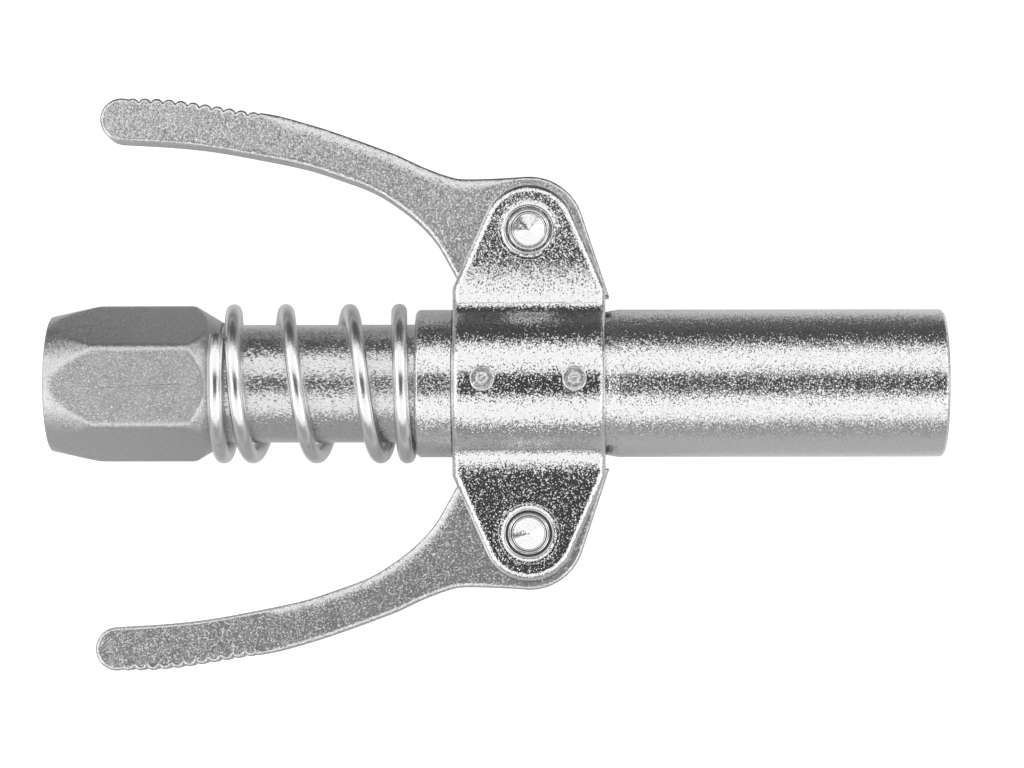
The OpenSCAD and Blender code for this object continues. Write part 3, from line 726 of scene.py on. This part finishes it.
class COUPLER_OT_nut(bpy.types.Operator):
    """Make the hose nut with its hexagon, taper, cone and tapped hole"""

    bl_idname = "coupler.nut"
    bl_label = "Hose nut"

    def execute(self, context):
        s = context.scene.coupler.nut
        end = NUT_HIGH.x
        outside = rounded([
            (0.0, s.hole_r + s.thread_depth, 0.1 * MM), (0.0, s.face_r, 0.3 * MM),
            (s.taper_len, s.corner_r, 3 * MM), (end - s.cone_len, s.corner_r, 1.8 * MM),
            (end, s.nose_r, 0.2 * MM), (end, s.socket_r, 0.1 * MM), (s.socket_x, s.socket_r, 0.1 * MM),
            (s.socket_x, s.passage_r, 0.0), (s.hole_depth + 0.7 * MM, s.passage_r, 0.0),
            (s.hole_depth, s.hole_r - 0.02 * MM, 0.0),
        ])
        rings = steadied(outside, closed=False, longest=0.2 * MM)
        steps = round(s.hole_depth / s.thread_pitch * 8)
        rings += [
            Vector((s.hole_depth * (1 - k / steps), s.hole_r)) for k in range(1, steps) if k < steps - 4
        ]
        shells = Shells()
        shells.turn(rings, 240, along_x, nut_shape(s))
        make_piece("hose_nut", shells, "machined_steel", "body", "inlet_nut")
        self.long_scratch(s)
        return {"FINISHED"}

    def long_scratch(self, s):
        """A long scratch over the facet that faces up, in millimetres until it is placed."""
        up = Vector((0.0, -math.sin(s.turn), math.cos(s.turn)))
        side = Vector((0.0, math.cos(s.turn), math.sin(s.turn)))
        steps = 40
        start, span, drop, rise = 4.6, 15.6, -0.3, 0.75
        points = []
        for k in range(steps + 1):
            wander = 0.12 * noise.noise(Vector((0.2 * k, 0.0, 0.0)))
            across = drop + rise * k / steps + wander
            along = Vector((start + span * k / steps, 0.0, 0.0))
            points.append(along * MM + up * s.flats / 2 + side * across * MM)
        shells = Shells()
        shells.join(scratch(points, [up] * len(points), 0.2 * MM, 0.06 * MM))
        make_piece("nut_scratch", shells, "machined_steel", "body")


class COUPLER_OT_tube(bpy.types.Operator):
    """Make the body tube with its spigot, the levers' groove and the nose"""

    bl_idname = "coupler.tube"
    bl_label = "Body tube"

    def execute(self, context):
        s = context.scene.coupler.tube
        nut = context.scene.coupler.nut
        back, front = TUBE_LOW.x, TUBE_HIGH.x
        shoulder = front - s.shoulder_back
        groove = PIVOT.x - s.groove_back
        hook = front - s.hook_x
        seat = front - s.chamber_len
        fine = 0.1 * MM
        outline = rounded([
            (back, nut.passage_r, fine), (back, s.spigot_r, 2 * fine), (NUT_HIGH.x, s.spigot_r, 0.0),
            (NUT_HIGH.x, s.radius, fine),
            (groove - s.groove_half, s.radius, fine), (groove - s.groove_half, s.groove_r, fine),
            (groove + s.groove_half, s.groove_r, fine), (groove + s.groove_half, s.radius, fine),
            (shoulder, s.radius, 2 * fine), (shoulder, s.nose_r, 2 * fine),
            (hook - s.hook_half, s.nose_r, fine), (hook - s.hook_half, s.nose_r - s.hook_depth, fine),
            (hook + s.hook_half, s.nose_r - s.hook_depth, fine), (hook + s.hook_half, s.nose_r, fine),
            (front, s.nose_r, 2 * fine), (front, s.chamber_r, fine),
            (seat + s.chamber_r - nut.passage_r, s.chamber_r, fine), (seat, nut.passage_r, fine),
        ])
        shells = Shells()
        shells.turn(steadied(outline), 192, along_x)
        make_piece("tube", shells, "drawn_steel", "body", "body_tube")
        return {"FINISHED"}


class COUPLER_OT_springs(bpy.types.Operator):
    """Wind the return spring and the two small springs inside"""

    bl_idname = "coupler.springs"
    bl_label = "Springs"

    def execute(self, context):
        s = context.scene.coupler.spring
        # Places of the wire at even steps along it, as shares of its free length
        places = [0, 0.017, 0.071, 0.165, 0.322, 0.473, 0.625, 0.788, 0.908, 0.972, 1]
        shares = [(k / (len(places) - 1), place) for k, place in enumerate(places)]
        first, last = SPRING_LOW.x + s.wire_r, SPRING_HIGH.x - s.wire_r
        sizes = {
            "First Place": first, "Last Place": last, "Coil Radius": s.coil_r, "Wire Radius": s.wire_r,
            "Start Turn": s.start, "Turns": s.turns, "Steps": 305, "Sides": 24,
        }
        spring = make_spring("main_spring", shares, sizes, "spring_wire", 0.12 * MM)
        finish_piece(spring, "spring_wire", "body", ["return_spring"])
        self.follow(spring, "sleeve_slide", SPRING_LOW.x, SPRING_HIGH.x)
        for node, joint, turns, moving_front in (
            ("carrier_spring", "carrier_slide", 4, True), ("check_spring", "ball_slide", 5, False),
        ):
            low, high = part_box(node)
            wire = s.small_wire_r
            closed = 2.1 * wire / (high.x - low.x - 2 * wire)
            shares = [(0, 0), (1 / turns, closed), (1 - 1 / turns, 1 - closed), (1, 1)]
            sizes = {
                "First Place": low.x + wire, "Last Place": high.x - wire,
                "Coil Radius": high.y - wire, "Wire Radius": wire,
                "Start Turn": 0.0, "Turns": float(turns), "Steps": 40 * turns, "Sides": 12,
            }
            piece = make_spring(node + "_wire", shares, sizes, "spring_wire", 0.0)
            finish_piece(piece, "spring_wire", "body", [node])
            self.follow(piece, joint, *((low.x, high.x) if moving_front else (high.x, low.x)))
        return {"FINISHED"}

    def follow(self, piece, joint, still, moving):
        """Give a spring its own copy of its mesh."""
        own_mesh(piece)


class COUPLER_OT_sleeve(bpy.types.Operator):
    """Make the sleeve with its band, ramp, slots and coned mouth"""

    bl_idname = "coupler.sleeve"
    bl_label = "Outer sleeve"

    def execute(self, context):
        s = context.scene.coupler.sleeve
        clamp = context.scene.coupler.clamp
        back, front, radius = SLEEVE_LOW.x, SLEEVE_HIGH.x, SLEEVE_HIGH.y
        gap = 0.05 * MM
        band_back, band_front = CLAMP_LOW.x - gap, CLAMP_HIGH.x + gap
        mouth_x = front - (s.mouth_r - s.bore_r) / math.tan(s.mouth_angle)
        fine = 0.12 * MM
        outline = rounded([
            (back, s.bore_r, fine), (back, radius - s.chamfer, fine), (back + s.chamfer, radius, 2 * fine),
            (band_back, radius, fine), (band_back, s.band_r, fine), (band_front, s.band_r, 0.0),
            (band_front, radius - s.ramp_rise, 0.0), (band_front + s.ramp_len, radius, 6 * fine),
            (front - s.chamfer, radius, 3 * fine), (front, radius - s.chamfer, fine),
            (front, s.mouth_r, fine), (mouth_x, s.bore_r, 0.5 * MM),
        ])
        shells = Shells()
        shells.turn(steadied(outline), 256, along_x)
        piece = make_piece("sleeve_tube", shells, "zinc_sleeve", "sleeve", "outer_sleeve")
        cutter = self.slot_cutter(s, radius + clamp.sheet)
        cut = piece.modifiers.new("slots", "BOOLEAN")
        cut.object = cutter
        cut.solver = "EXACT"
        piece.data = as_modified(piece)
        piece.modifiers.clear()
        piece.data.set_sharp_from_angle(angle=SHARP)
        bpy.data.objects.remove(cutter)
        self.short_scratches(band_front, radius)
        return {"FINISHED"}

    def short_scratches(self, band_front, radius):
        """Short scratches where the clamp was driven on."""
        shells = Shells()
        steps = 12
        # Places across, starts and lengths in millimetres
        for across, start, span in ((0.42, 2.0, 2.3), (-0.12, 2.0, 1.7), (-0.32, 2.1, 1.3), (-0.8, 2.0, 0.8)):
            points, ups = [], []
            for k in range(steps + 1):
                y = (across + 0.1 * noise.noise(Vector((0.5 * k, across, 0.0)))) * MM
                up = Vector((0.0, y / radius, math.sqrt(1 - (y / radius) ** 2)))
                points.append(Vector((band_front + (start + span * k / steps) * MM, 0.0, 0.0)) + up * radius)
                ups.append(up)
            shells.join(scratch(points, ups, 0.13 * MM, 0.05 * MM))
        make_piece("sleeve_scratches", shells, "zinc_sleeve", "sleeve")

    def slot_cutter(self, s, reach):
        """A bar right through the sleeve where both toes pass."""
        mesh = bmesh.new()
        bmesh.ops.create_cube(mesh, size=1.0)
        for vert in mesh.verts:
            x, y, z = vert.co
            vert.co = (PIVOT.x + 2 * s.slot_half * x, 2 * reach * y, s.slot_width * z)
        data = bpy.data.meshes.new("slot_cutter")
        mesh.to_mesh(data)
        mesh.free()
        return add_object("slot_cutter", data)


class COUPLER_OT_clamp(bpy.types.Operator):
    """Bend the clamp's two halves from sheet, with ears, bosses and stake marks"""

    bl_idname = "coupler.clamp"
    bl_label = "Clamp"

    def execute(self, context):
        s = context.scene.coupler.clamp
        front = self.half(s)
        back = front.mirrored()
        make_piece("clamp_half_front", front, "zinc_sheet", "sleeve", "clamp_front")
        make_piece("clamp_half_back", back, "zinc_sheet", "sleeve", "clamp_back")
        stakes = self.stakes(s)
        make_piece("stake_marks_front", stakes, "stamped_steel", "sleeve")
        make_piece("stake_marks_back", stakes.mirrored(), "stamped_steel", "sleeve")
        return {"FINISHED"}

    def crease(self, s, place, half_len):
        """The thin uneven ridge that the bending tool left along the foot of an ear."""
        mesh = bmesh.new()
        count = 90
        high, wide, sunk = 0.07 * MM, 0.11 * MM, -0.03 * MM
        rings = []
        for k in range(count + 1):
            x = (half_len - s.rim) * (2 * k / count - 1)
            spot = Vector((900 * x, 4.0, 0.0))
            drift = 0.55 * MM + 0.3 * MM * noise.noise(spot) + 0.16 * MM * noise.noise(4 * spot)
            top = high * (0.75 + 0.5 * noise.noise(3 * spot)) if 0 < k < count else sunk / 3
            section = ((-wide, sunk), (-0.2 * wide, top), (0.3 * wide, 0.7 * top), (wide, sunk))
            rings.append([mesh.verts.new(place(x, drift + u, s.sheet + w)) for u, w in section])
        bridge(mesh, rings, capped=True)
        return mesh

    def stakes(self, s):
        """The two punched marks that hold one half to the sleeve: a raised ring, a dish and a dot."""
        crown = s.inner_r + s.sheet
        r, fine = s.stake_r, 0.1 * MM
        mark = rounded([
            (crown - 5 * fine, r + fine, 0.0), (crown - 0.3 * fine, r, fine),
            (crown + 0.6 * fine, 0.88 * r, fine),
            (crown + 0.3 * fine, 0.72 * r, 2 * fine), (crown + 0.3 * fine, 0.52 * r, fine),
            (crown + 0.8 * fine, 0.4 * r, 0.6 * fine), (crown + 0.2 * fine, 0.28 * r, 0.8 * fine),
            (crown + 0.2 * fine, 0.2 * r, 0.4 * fine), (crown + 0.6 * fine, 0.1 * r, 0.6 * fine),
            (crown + 0.7 * fine, 0.0, 0.0),
        ], closed=False)
        mark.insert(0, Vector((crown - 5 * fine, 0.0)))
        shells = Shells()
        for side in (1, -1):
            shells.turn(steadied(mark, closed=False), 64, upright((PIVOT.x + side * s.stake_gap / 2, 0.0)))
        return shells

    def half(self, s):
        """One half: the sheet cut flat, then bent round the sleeve and out into the ears."""
        half_len = (CLAMP_HIGH.x - CLAMP_LOW.x) / 2
        outer_r = s.inner_r + s.sheet
        bend_z = s.ear_z + s.sheet + s.bend_r
        bend_y = math.sqrt((outer_r + s.bend_r) ** 2 - bend_z**2)
        lean = math.atan2(bend_z, bend_y)
        sweep = math.pi / 2 - lean
        barrel_end = (s.inner_r + s.sheet / 2) * sweep
        bend_end = barrel_end + (s.bend_r + s.sheet / 2) * sweep
        ear_middle = bend_end + PIVOT.y - bend_y
        flank_end = bend_end + s.flank

        def bent(u, x, w):
            side = math.copysign(1, u)
            u = abs(u)
            if u <= barrel_end:
                a = u / (s.inner_r + s.sheet / 2)
                y, z = (s.inner_r + w) * math.sin(a), (s.inner_r + w) * math.cos(a)
            elif u <= bend_end:
                a = math.pi + lean + (u - barrel_end) / (s.bend_r + s.sheet / 2)
                r = s.bend_r + s.sheet - w
                y, z = bend_y + r * math.cos(a), bend_z + r * math.sin(a)
                # Meets the ear's own fading lift at its end with the same slope
                t = (u - barrel_end) / (bend_end - barrel_end)
                slope = -2 * (bend_end - barrel_end) / s.lift_len
                z += s.lift * ((3 - 2 * t) * t**2 + slope * (t - 1) * t**2)
            else:
                fade = max(1 - (u - bend_end) / s.lift_len, 0)
                y, z = bend_y + u - bend_end, s.ear_z + w + s.lift * fade**2
            return (PIVOT.x + x, side * y, z)

        corner = Vector((flank_end - ear_middle, half_len))
        touch = math.atan2(corner.y, corner.x) - math.acos(s.ear_r / corner.length)
        outline = []
        for side in (1, -1):
            outline.append((side * flank_end, -side * half_len, s.corner))
            for k in range(33):
                a = -touch + 2 * touch * k / 32
                outline.append((
                    side * (ear_middle + s.ear_r * math.cos(a)), side * s.ear_r * math.sin(a), 0.0
                ))
            outline.append((side * flank_end, side * half_len, s.corner))
        loops = [rounded(outline, steps=6)]
        for side in (1, -1):
            loops.append([
                Vector((
                    side * ear_middle + s.hole_r * math.cos(-math.tau * k / 48),
                    s.hole_r * math.sin(-math.tau * k / 48),
                )) for k in range(48)
            ])
        mesh = rounded_plate(loops, 0.0, s.sheet, 0.12 * MM, s.rim)
        stops = [barrel_end * k / 26 for k in range(-26, 27)]
        for count, start, span in ((12, barrel_end, bend_end - barrel_end), (8, bend_end, s.lift_len)):
            stops += [side * (start + span * k / count) for k in range(1, count + 1) for side in (1, -1)]
        for stop in stops:
            bmesh.ops.bisect_plane(
                mesh, geom=mesh.verts[:] + mesh.edges[:] + mesh.faces[:],
                plane_co=(stop, 0, 0), plane_no=(1, 0, 0), dist=TINY,
            )
        for vert in mesh.verts:
            vert.co = bent(*vert.co)
        shells = Shells()
        shells.join(mesh)
        for side, start in ((1, barrel_end + 2 * MM), (-1, barrel_end + 0.6 * MM)):
            shells.join(self.crease(
                s, lambda x, u, w, side=side, start=start: bent(side * (start + u), x, w), half_len
            ))
        top = s.ear_z + s.sheet
        fine = 0.1 * MM
        boss = rounded([
            (top - fine, s.hole_r, 0.0), (top - fine, s.boss_r + fine, 0.0),
            (top + 0.2 * fine, s.boss_r, fine),
            (top + 0.35 * s.boss_rise, 0.91 * s.boss_r, fine), (top + s.boss_rise, 0.83 * s.boss_r, fine),
            (top + s.boss_rise, s.hole_r, 0.0),
        ])
        for side in (1, -1):
            shells.turn(steadied(boss), 96, upright((PIVOT.x, side * PIVOT.y)))
        return shells


class COUPLER_OT_pins(bpy.types.Operator):
    """Turn the two headed pivot pins"""

    bl_idname = "coupler.pins"
    bl_label = "Pivot pins"

    def execute(self, context):
        s = context.scene.coupler.pin
        top = PIN_HIGH.z
        unit = s.head_len / 6
        r = s.head_r
        under = top - s.head_len - 0.02 * MM
        # From the shaft out over the head: a level ring, a thin ridge, a groove and the cone
        head = [
            (under, s.radius, 0.0), (under, r, 0.0),
            (top - 2.6 * unit, r, 0.6 * unit), (top - 0.7 * unit, 0.95 * r, 1.2 * unit),
            (top - 0.7 * unit, 0.82 * r, 0.4 * unit),
            (top, 0.79 * r, 0.3 * unit), (top, 0.765 * r, 0.3 * unit),
            (top - 1.5 * unit, 0.73 * r, 0.4 * unit), (top - 1.5 * unit, 0.67 * r, 0.4 * unit),
            (top - 3.4 * unit, 0.65 * r, 0.2 * unit), (top - 3.4 * unit, 0.625 * r, 0.2 * unit),
            (top - 9.4 * unit, 0.03 * r, 0.5 * unit), (top - 9.5 * unit, 0.0, 0.0),
        ]
        outline = [(-z, radius, edge) for z, radius, edge in reversed(head)] + head
        for name, side in (("upper", 1), ("lower", -1)):
            shells = Shells()
            shells.turn(
                steadied(rounded(outline, closed=False), closed=False), 96, upright((PIVOT.x, side * PIVOT.y))
            )
            make_piece(f"pin_{name}", shells, "turned_pin", "sleeve", f"pivot_pin_{name}")
        return {"FINISHED"}


def face_outlines(node):
    """The outline of a CAD plate's top face, anticlockwise, and those of its holes, clockwise."""
    mesh = bmesh.new()
    mesh.from_mesh(FRAME["nodes"][node].data)
    bmesh.ops.remove_doubles(mesh, verts=mesh.verts, dist=MERGE)
    top = max(vert.co.z for vert in mesh.verts)
    flat = {face for face in mesh.faces if all(abs(vert.co.z - top) < MERGE for vert in face.verts)}
    ahead = {}
    for face in flat:
        for corner in face.loops:
            edge = corner.edge
            if sum(other in flat for other in edge.link_faces) == 1:
                ahead[corner.vert.index] = corner.link_loop_next.vert.index
    mesh.verts.ensure_lookup_table()
    loops = []
    while ahead:
        start = next(iter(ahead))
        loop, here = [], start
        while here in ahead:
            loop.append(mesh.verts[here].co.xy.copy())
            here = ahead.pop(here)
        loops.append(loop)
    mesh.free()
    loops.sort(key=lambda loop: abs(area(loop)), reverse=True)
    if area(loops[0]) < 0:
        loops = [loop[::-1] for loop in loops]
    return loops, top


def area(points):
    """Signed area inside an outline."""
    return sum(a.x * b.y - b.x * a.y for a, b in zip(points, points[1:] + points[:1])) / 2


class COUPLER_OT_levers(bpy.types.Operator):
    """Make the two levers with rounded rims, toothed grips and toes"""

    bl_idname = "coupler.levers"
    bl_label = "Levers"

    def execute(self, context):
        s = context.scene.coupler.lever
        for name in ("lever_upper", "lever_lower"):
            loops, top = face_outlines(name)
            shells = Shells()
            shells.join(rounded_plate(loops, -top, top, s.rim, s.rim, self.reach(s, loops[0])))
            make_piece(f"{name}_plate", shells, "stamped_steel", name, name)
        return {"FINISHED"}

    def reach(self, s, outline):
        """Wide rims between teeth and hub along the edge that faces +Y, narrower ones along the other."""
        result = []
        for i, point in enumerate(outline):
            along = outline[(i + 1) % len(outline)] - outline[i - 1]
            facing = -along.x / max(along.length, TINY)
            begun = min(max((point.x - s.arm_start) / (3 * MM), 0), 1)
            unended = min(max((s.arm_end - point.x) / (6 * MM), 0), 1)
            wide = s.high_reach if facing > 0 else s.low_reach
            result.append(1 + (wide - 1) * begun * unended * min(abs(facing) / 0.5, 1))
        return result


class COUPLER_OT_inner(bpy.types.Operator):
    """Ease the edges of the jaws, seals and valve pieces inside the mouth"""

    bl_idname = "coupler.inner"
    bl_label = "Inner pieces"

    def execute(self, context):
        edge = context.scene.coupler.inner.edge
        finishes = {
            "nut_washer": "copper_washer", "jaw_1": "hardened_steel", "jaw_2": "hardened_steel",
            "jaw_3": "hardened_steel", "jaw_4": "hardened_steel", "jaw_ring": "spring_wire",
            "seal_carrier": "carrier_brass", "nose_seal": "seal_rubber", "carrier_o_ring": "seal_rubber",
            "check_ball": "hardened_steel", "valve_retainer": "drawn_steel",
        }
        for node, finish in finishes.items():
            mesh = bmesh.new()
            mesh.from_mesh(FRAME["nodes"][node].data)
            bmesh.ops.remove_doubles(mesh, verts=mesh.verts, dist=MERGE)
            bmesh.ops.dissolve_limit(
                mesh, angle_limit=math.radians(0.5), verts=mesh.verts, edges=mesh.edges,
                use_dissolve_boundaries=False, delimit={"NORMAL"},
            )
            sharp = [
                e for e in mesh.edges if len(e.link_faces) == 2 and e.calc_face_angle(0) > math.radians(30)
            ]
            if sharp:
                bmesh.ops.bevel(
                    mesh, geom=sharp, offset=edge, segments=2, affect="EDGES", profile=0.5, clamp_overlap=True
                )
            shells = Shells()
            shells.join(mesh)
            make_piece(f"{node}_eased", shells, finish, node_body(node), node)
        return {"FINISHED"}


class COUPLER_OT_studio(bpy.types.Operator):
    """Set the camera, the lamps, the floor and the backdrop"""

    bl_idname = "coupler.studio"
    bl_label = "Studio"

    def execute(self, context):
        s = context.scene.coupler.studio
        scene = context.scene
        scene.view_settings.view_transform = "Standard"
        aim = Vector((s.aim_x, s.aim_y, 0.0))
        lean = Vector((math.sin(s.yaw), -math.sin(s.tilt), math.cos(s.tilt) * math.cos(s.yaw)))
        camera_data = bpy.data.cameras.new("photo_camera")
        camera_data.lens = s.lens
        camera_data.sensor_width = 36.0
        camera_data.clip_start = 0.01
        camera = add_object("photo_camera", camera_data)
        camera.location = aim + lean.normalized() * s.distance
        right = Vector((0.0, 1.0, 0.0)).cross(lean).normalized()
        turn = Matrix((right, lean.cross(right).normalized(), lean.normalized())).transposed()
        camera.rotation_euler = turn.to_euler()
        scene.camera = camera
        # Two long soft boxes beside the camera, in degrees from straight overhead
        for name, near, far in (("box_upper", 12.0, 56.0), ("box_lower", -21.5, -65.0)):
            self.soft_box(s, name, math.radians(near), math.radians(far))
        self.side_card(s, "hose_card", (-0.62, -0.1, 0.78), 0.5, 0.6)
        self.side_card(s, "mouth_card", (0.6, -0.24, 0.78), 0.5, 0.26)
        self.floor(s)
        self.backdrop(scene)
        return {"FINISHED"}

    def soft_box(self, s, name, near, far):
        """A long lamp that fills the angles between near and far."""
        middle, half = (near + far) / 2, abs(far - near) / 2
        away = Vector((0.0, math.sin(middle), math.cos(middle)))
        width = 2 * s.lamp_distance * math.tan(half)
        self.lamp(s, name, away, (-middle, 0.0, 0.0), s.lamp_len, width)

    def side_card(self, s, name, away, length, width):
        """A small lamp beyond one end of the coupler, seen by the pins' cones and by edges."""
        away = Vector(away).normalized()
        turn = away.to_track_quat("Z", "Y").to_euler()
        self.lamp(s, name, away, turn, length * s.lamp_distance, width * s.lamp_distance)

    def lamp(self, s, name, away, turn, length, width):
        """A lamp whose face shows the metal the lamp level, and that the camera doesn't see."""
        light = bpy.data.lights.new(name, "AREA")
        light.shape = "RECTANGLE"
        light.size, light.size_y = length, width
        light.energy = s.lamp_level * math.pi * light.size * light.size_y
        box = add_object(name, light)
        box.location = Vector((s.aim_x, 0.0, 0.0)) + away * s.lamp_distance
        box.rotation_euler = turn
        box.visible_camera = False

    def floor(self, s):
        """A pale floor that looks white to the camera, keeps the coupler's shadow and shows metal a painted
        dark reflection beside the levers.
        """
        reach = 3.0
        level = CAD_BOX[0].z - 0.05 * MM
        mesh = bpy.data.meshes.new("floor")
        corners = [(reach * x, reach * y, level) for x, y in ((-1, -1), (1, -1), (1, 1), (-1, 1))]
        mesh.from_pydata(corners, [], [(0, 1, 2, 3)])
        floor = add_object("floor", mesh)
        paint = fresh_material("floor_paint")
        paint.cycles.emission_sampling = "NONE"
        tree = paint.node_tree
        path = add_node(tree, "ShaderNodeLightPath").outputs
        # Painted reflection: only glossy rays see it. The floor is painted dark beyond the upper lever and
        # grey beyond the lower, so that metal reflects darker bands there
        spot = add_node(tree, "ShaderNodeTexCoord").outputs["Object"]
        across = add_node(tree, "ShaderNodeSeparateXYZ", Vector=spot).outputs["Y"]
        upper = add_node(
            tree, "ShaderNodeMapRange", Value=across,
            **{"From Min": 16 * MM, "From Max": 44 * MM, "To Max": 0.93},
        ).outputs["Result"]
        lower = add_node(
            tree, "ShaderNodeMapRange", Value=across,
            **{"From Min": -12 * MM, "From Max": -22 * MM, "To Max": 0.48},
        ).outputs["Result"]
        painted_dark_reflection = add_node(tree, "ShaderNodeMath", {"operation": "MAXIMUM"}, i0=upper, i1=lower).outputs[0]
        glossy_painted_dark = add_node(
            tree, "ShaderNodeMath", {"operation": "MULTIPLY"}, i0=painted_dark_reflection, i1=path["Is Glossy Ray"]
        ).outputs[0]
        # Painted reflection: the floor's colour, pulled towards black where glossy rays meet the painted mask
        shade = add_node(
            tree, "ShaderNodeMix", {"data_type": "RGBA"},
            i0=glossy_painted_dark, i6=(*s.floor, 1.0), i7=(0.02, 0.02, 0.02, 1.0),
        ).outputs[2]
        matt = add_node(tree, "ShaderNodeBsdfDiffuse", Color=shade).outputs["BSDF"]
        mirrored = add_node(
            tree, "ShaderNodeMath", {"operation": "MAXIMUM"},
            i0=path["Is Glossy Ray"], i1=path["Is Transmission Ray"],
        ).outputs[0]
        faint = add_node(tree, "ShaderNodeMath", {"operation": "MULTIPLY"}, i0=mirrored, i1=0.05).outputs[0]
        glow = add_node(
            tree, "ShaderNodeMath", {"operation": "MULTIPLY_ADD"},
            i0=path["Is Camera Ray"], i1=s.floor_glow, i2=faint,
        ).outputs[0]
        lit = add_node(tree, "ShaderNodeEmission", Strength=glow).outputs["Emission"]
        both = add_node(tree, "ShaderNodeAddShader", i0=matt, i1=lit).outputs["Shader"]
        add_node(tree, "ShaderNodeOutputMaterial", Surface=both)
        mesh.materials.append(paint)

    def backdrop(self, scene):
        """White to the camera; to metal, a studio with dark and pale bands round the coupler's axis."""
        world = bpy.data.worlds.new("studio")
        world.use_nodes = True
        tree = world.node_tree
        tree.nodes.clear()
        way = add_node(tree, "ShaderNodeTexCoord").outputs["Generated"]
        parts = add_node(tree, "ShaderNodeSeparateXYZ", Vector=way).outputs
        angle = add_node(
            tree, "ShaderNodeMath", {"operation": "ARCTAN2"}, i0=parts["Y"], i1=parts["Z"]
        ).outputs[0]
        share = add_node(
            tree, "ShaderNodeMapRange", Value=angle, **{"From Min": -math.pi, "From Max": math.pi}
        ).outputs["Result"]
        ramp = add_node(tree, "ShaderNodeValToRGB", Fac=share)
        # Degrees from overhead towards the upper lever, and the brightness there
        bands = [
            (-160, 0.45), (-112, 0.4), (-88, 0.36), (-74, 0.3), (-65, 0.05), (-22, 0.05),
            (-8, 0.06), (12, 0.05), (55, 0.05), (59, 0.1), (68, 0.07), (112, 0.06), (150, 0.2),
        ]
        stops = ramp.color_ramp.elements
        stops.remove(stops[1])
        for number, (spot, level) in enumerate(bands):
            stop = stops[0] if number == 0 else stops.new((spot + 180) / 360)
            stop.position = (spot + 180) / 360
            stop.color = (level, level, level, 1.0)
        # Pale beyond both ends of the coupler
        along = add_node(tree, "ShaderNodeMath", {"operation": "ABSOLUTE"}, i0=parts["X"]).outputs[0]
        end = add_node(
            tree, "ShaderNodeMapRange", Value=along, **{"From Min": 0.45, "From Max": 0.8}
        ).outputs["Result"]
        bands = add_node(
            tree, "ShaderNodeMix", {"data_type": "RGBA"},
            i0=end, i6=ramp.outputs["Color"], i7=(0.6, 0.6, 0.6, 1.0),
        ).outputs[2]
        seen = add_node(tree, "ShaderNodeLightPath").outputs["Is Camera Ray"]
        white = add_node(
            tree, "ShaderNodeMix", {"data_type": "RGBA"},
            i0=seen, i6=bands, i7=(1.0, 1.0, 1.0, 1.0),
        ).outputs[2]
        sky = add_node(tree, "ShaderNodeBackground", Color=white).outputs["Background"]
        add_node(tree, "ShaderNodeOutputWorld", Surface=sky)
        scene.world = world


class CouplerSettings(bpy.types.PropertyGroup):
    """Everything that a user may set"""

    nut: PointerProperty(type=NutSettings)
    tube: PointerProperty(type=TubeSettings)
    spring: PointerProperty(type=SpringSettings)
    sleeve: PointerProperty(type=SleeveSettings)
    clamp: PointerProperty(type=ClampSettings)
    pin: PointerProperty(type=PinSettings)
    lever: PointerProperty(type=LeverSettings)
    inner: PointerProperty(type=InnerSettings)
    finish: PointerProperty(type=FinishSettings)
    studio: PointerProperty(type=StudioSettings)


class COUPLER_PT_panel(bpy.types.Panel):
    """Buttons for each piece of the coupler"""

    bl_idname = "COUPLER_PT_panel"
    bl_label = "Grease coupler"
    bl_space_type = "VIEW_3D"
    bl_region_type = "UI"
    bl_category = "Coupler"

    def draw(self, context):
        column = self.layout.column(align=True)
        for operator in OPERATORS:
            column.operator(operator.bl_idname)


OPERATORS = (
    COUPLER_OT_nut, COUPLER_OT_tube, COUPLER_OT_springs, COUPLER_OT_sleeve, COUPLER_OT_clamp,
    COUPLER_OT_pins, COUPLER_OT_levers, COUPLER_OT_inner, COUPLER_OT_studio,
)
GROUPS = (
    NutSettings, TubeSettings, SpringSettings, SleeveSettings, ClampSettings, PinSettings,
    LeverSettings, InnerSettings, FinishSettings, StudioSettings, CouplerSettings,
)


def register():
    """Register the settings, the operators and the panel."""
    for kind in GROUPS + OPERATORS + (COUPLER_PT_panel,):
        bpy.utils.register_class(kind)
    bpy.types.Scene.coupler = PointerProperty(type=CouplerSettings)


def unregister():
    """Take the settings, the operators and the panel away again."""
    del bpy.types.Scene.coupler
    for kind in reversed(GROUPS + OPERATORS + (COUPLER_PT_panel,)):
        bpy.utils.unregister_class(kind)


def main():
    register()
    make_finishes(bpy.context.scene.coupler.finish)
    bpy.ops.coupler.nut()
    bpy.ops.coupler.tube()
    bpy.ops.coupler.springs()
    bpy.ops.coupler.sleeve()
    bpy.ops.coupler.clamp()
    bpy.ops.coupler.pins()
    bpy.ops.coupler.levers()
    bpy.ops.coupler.inner()
    bpy.ops.coupler.studio()


if __name__ == "__main__":
    main()
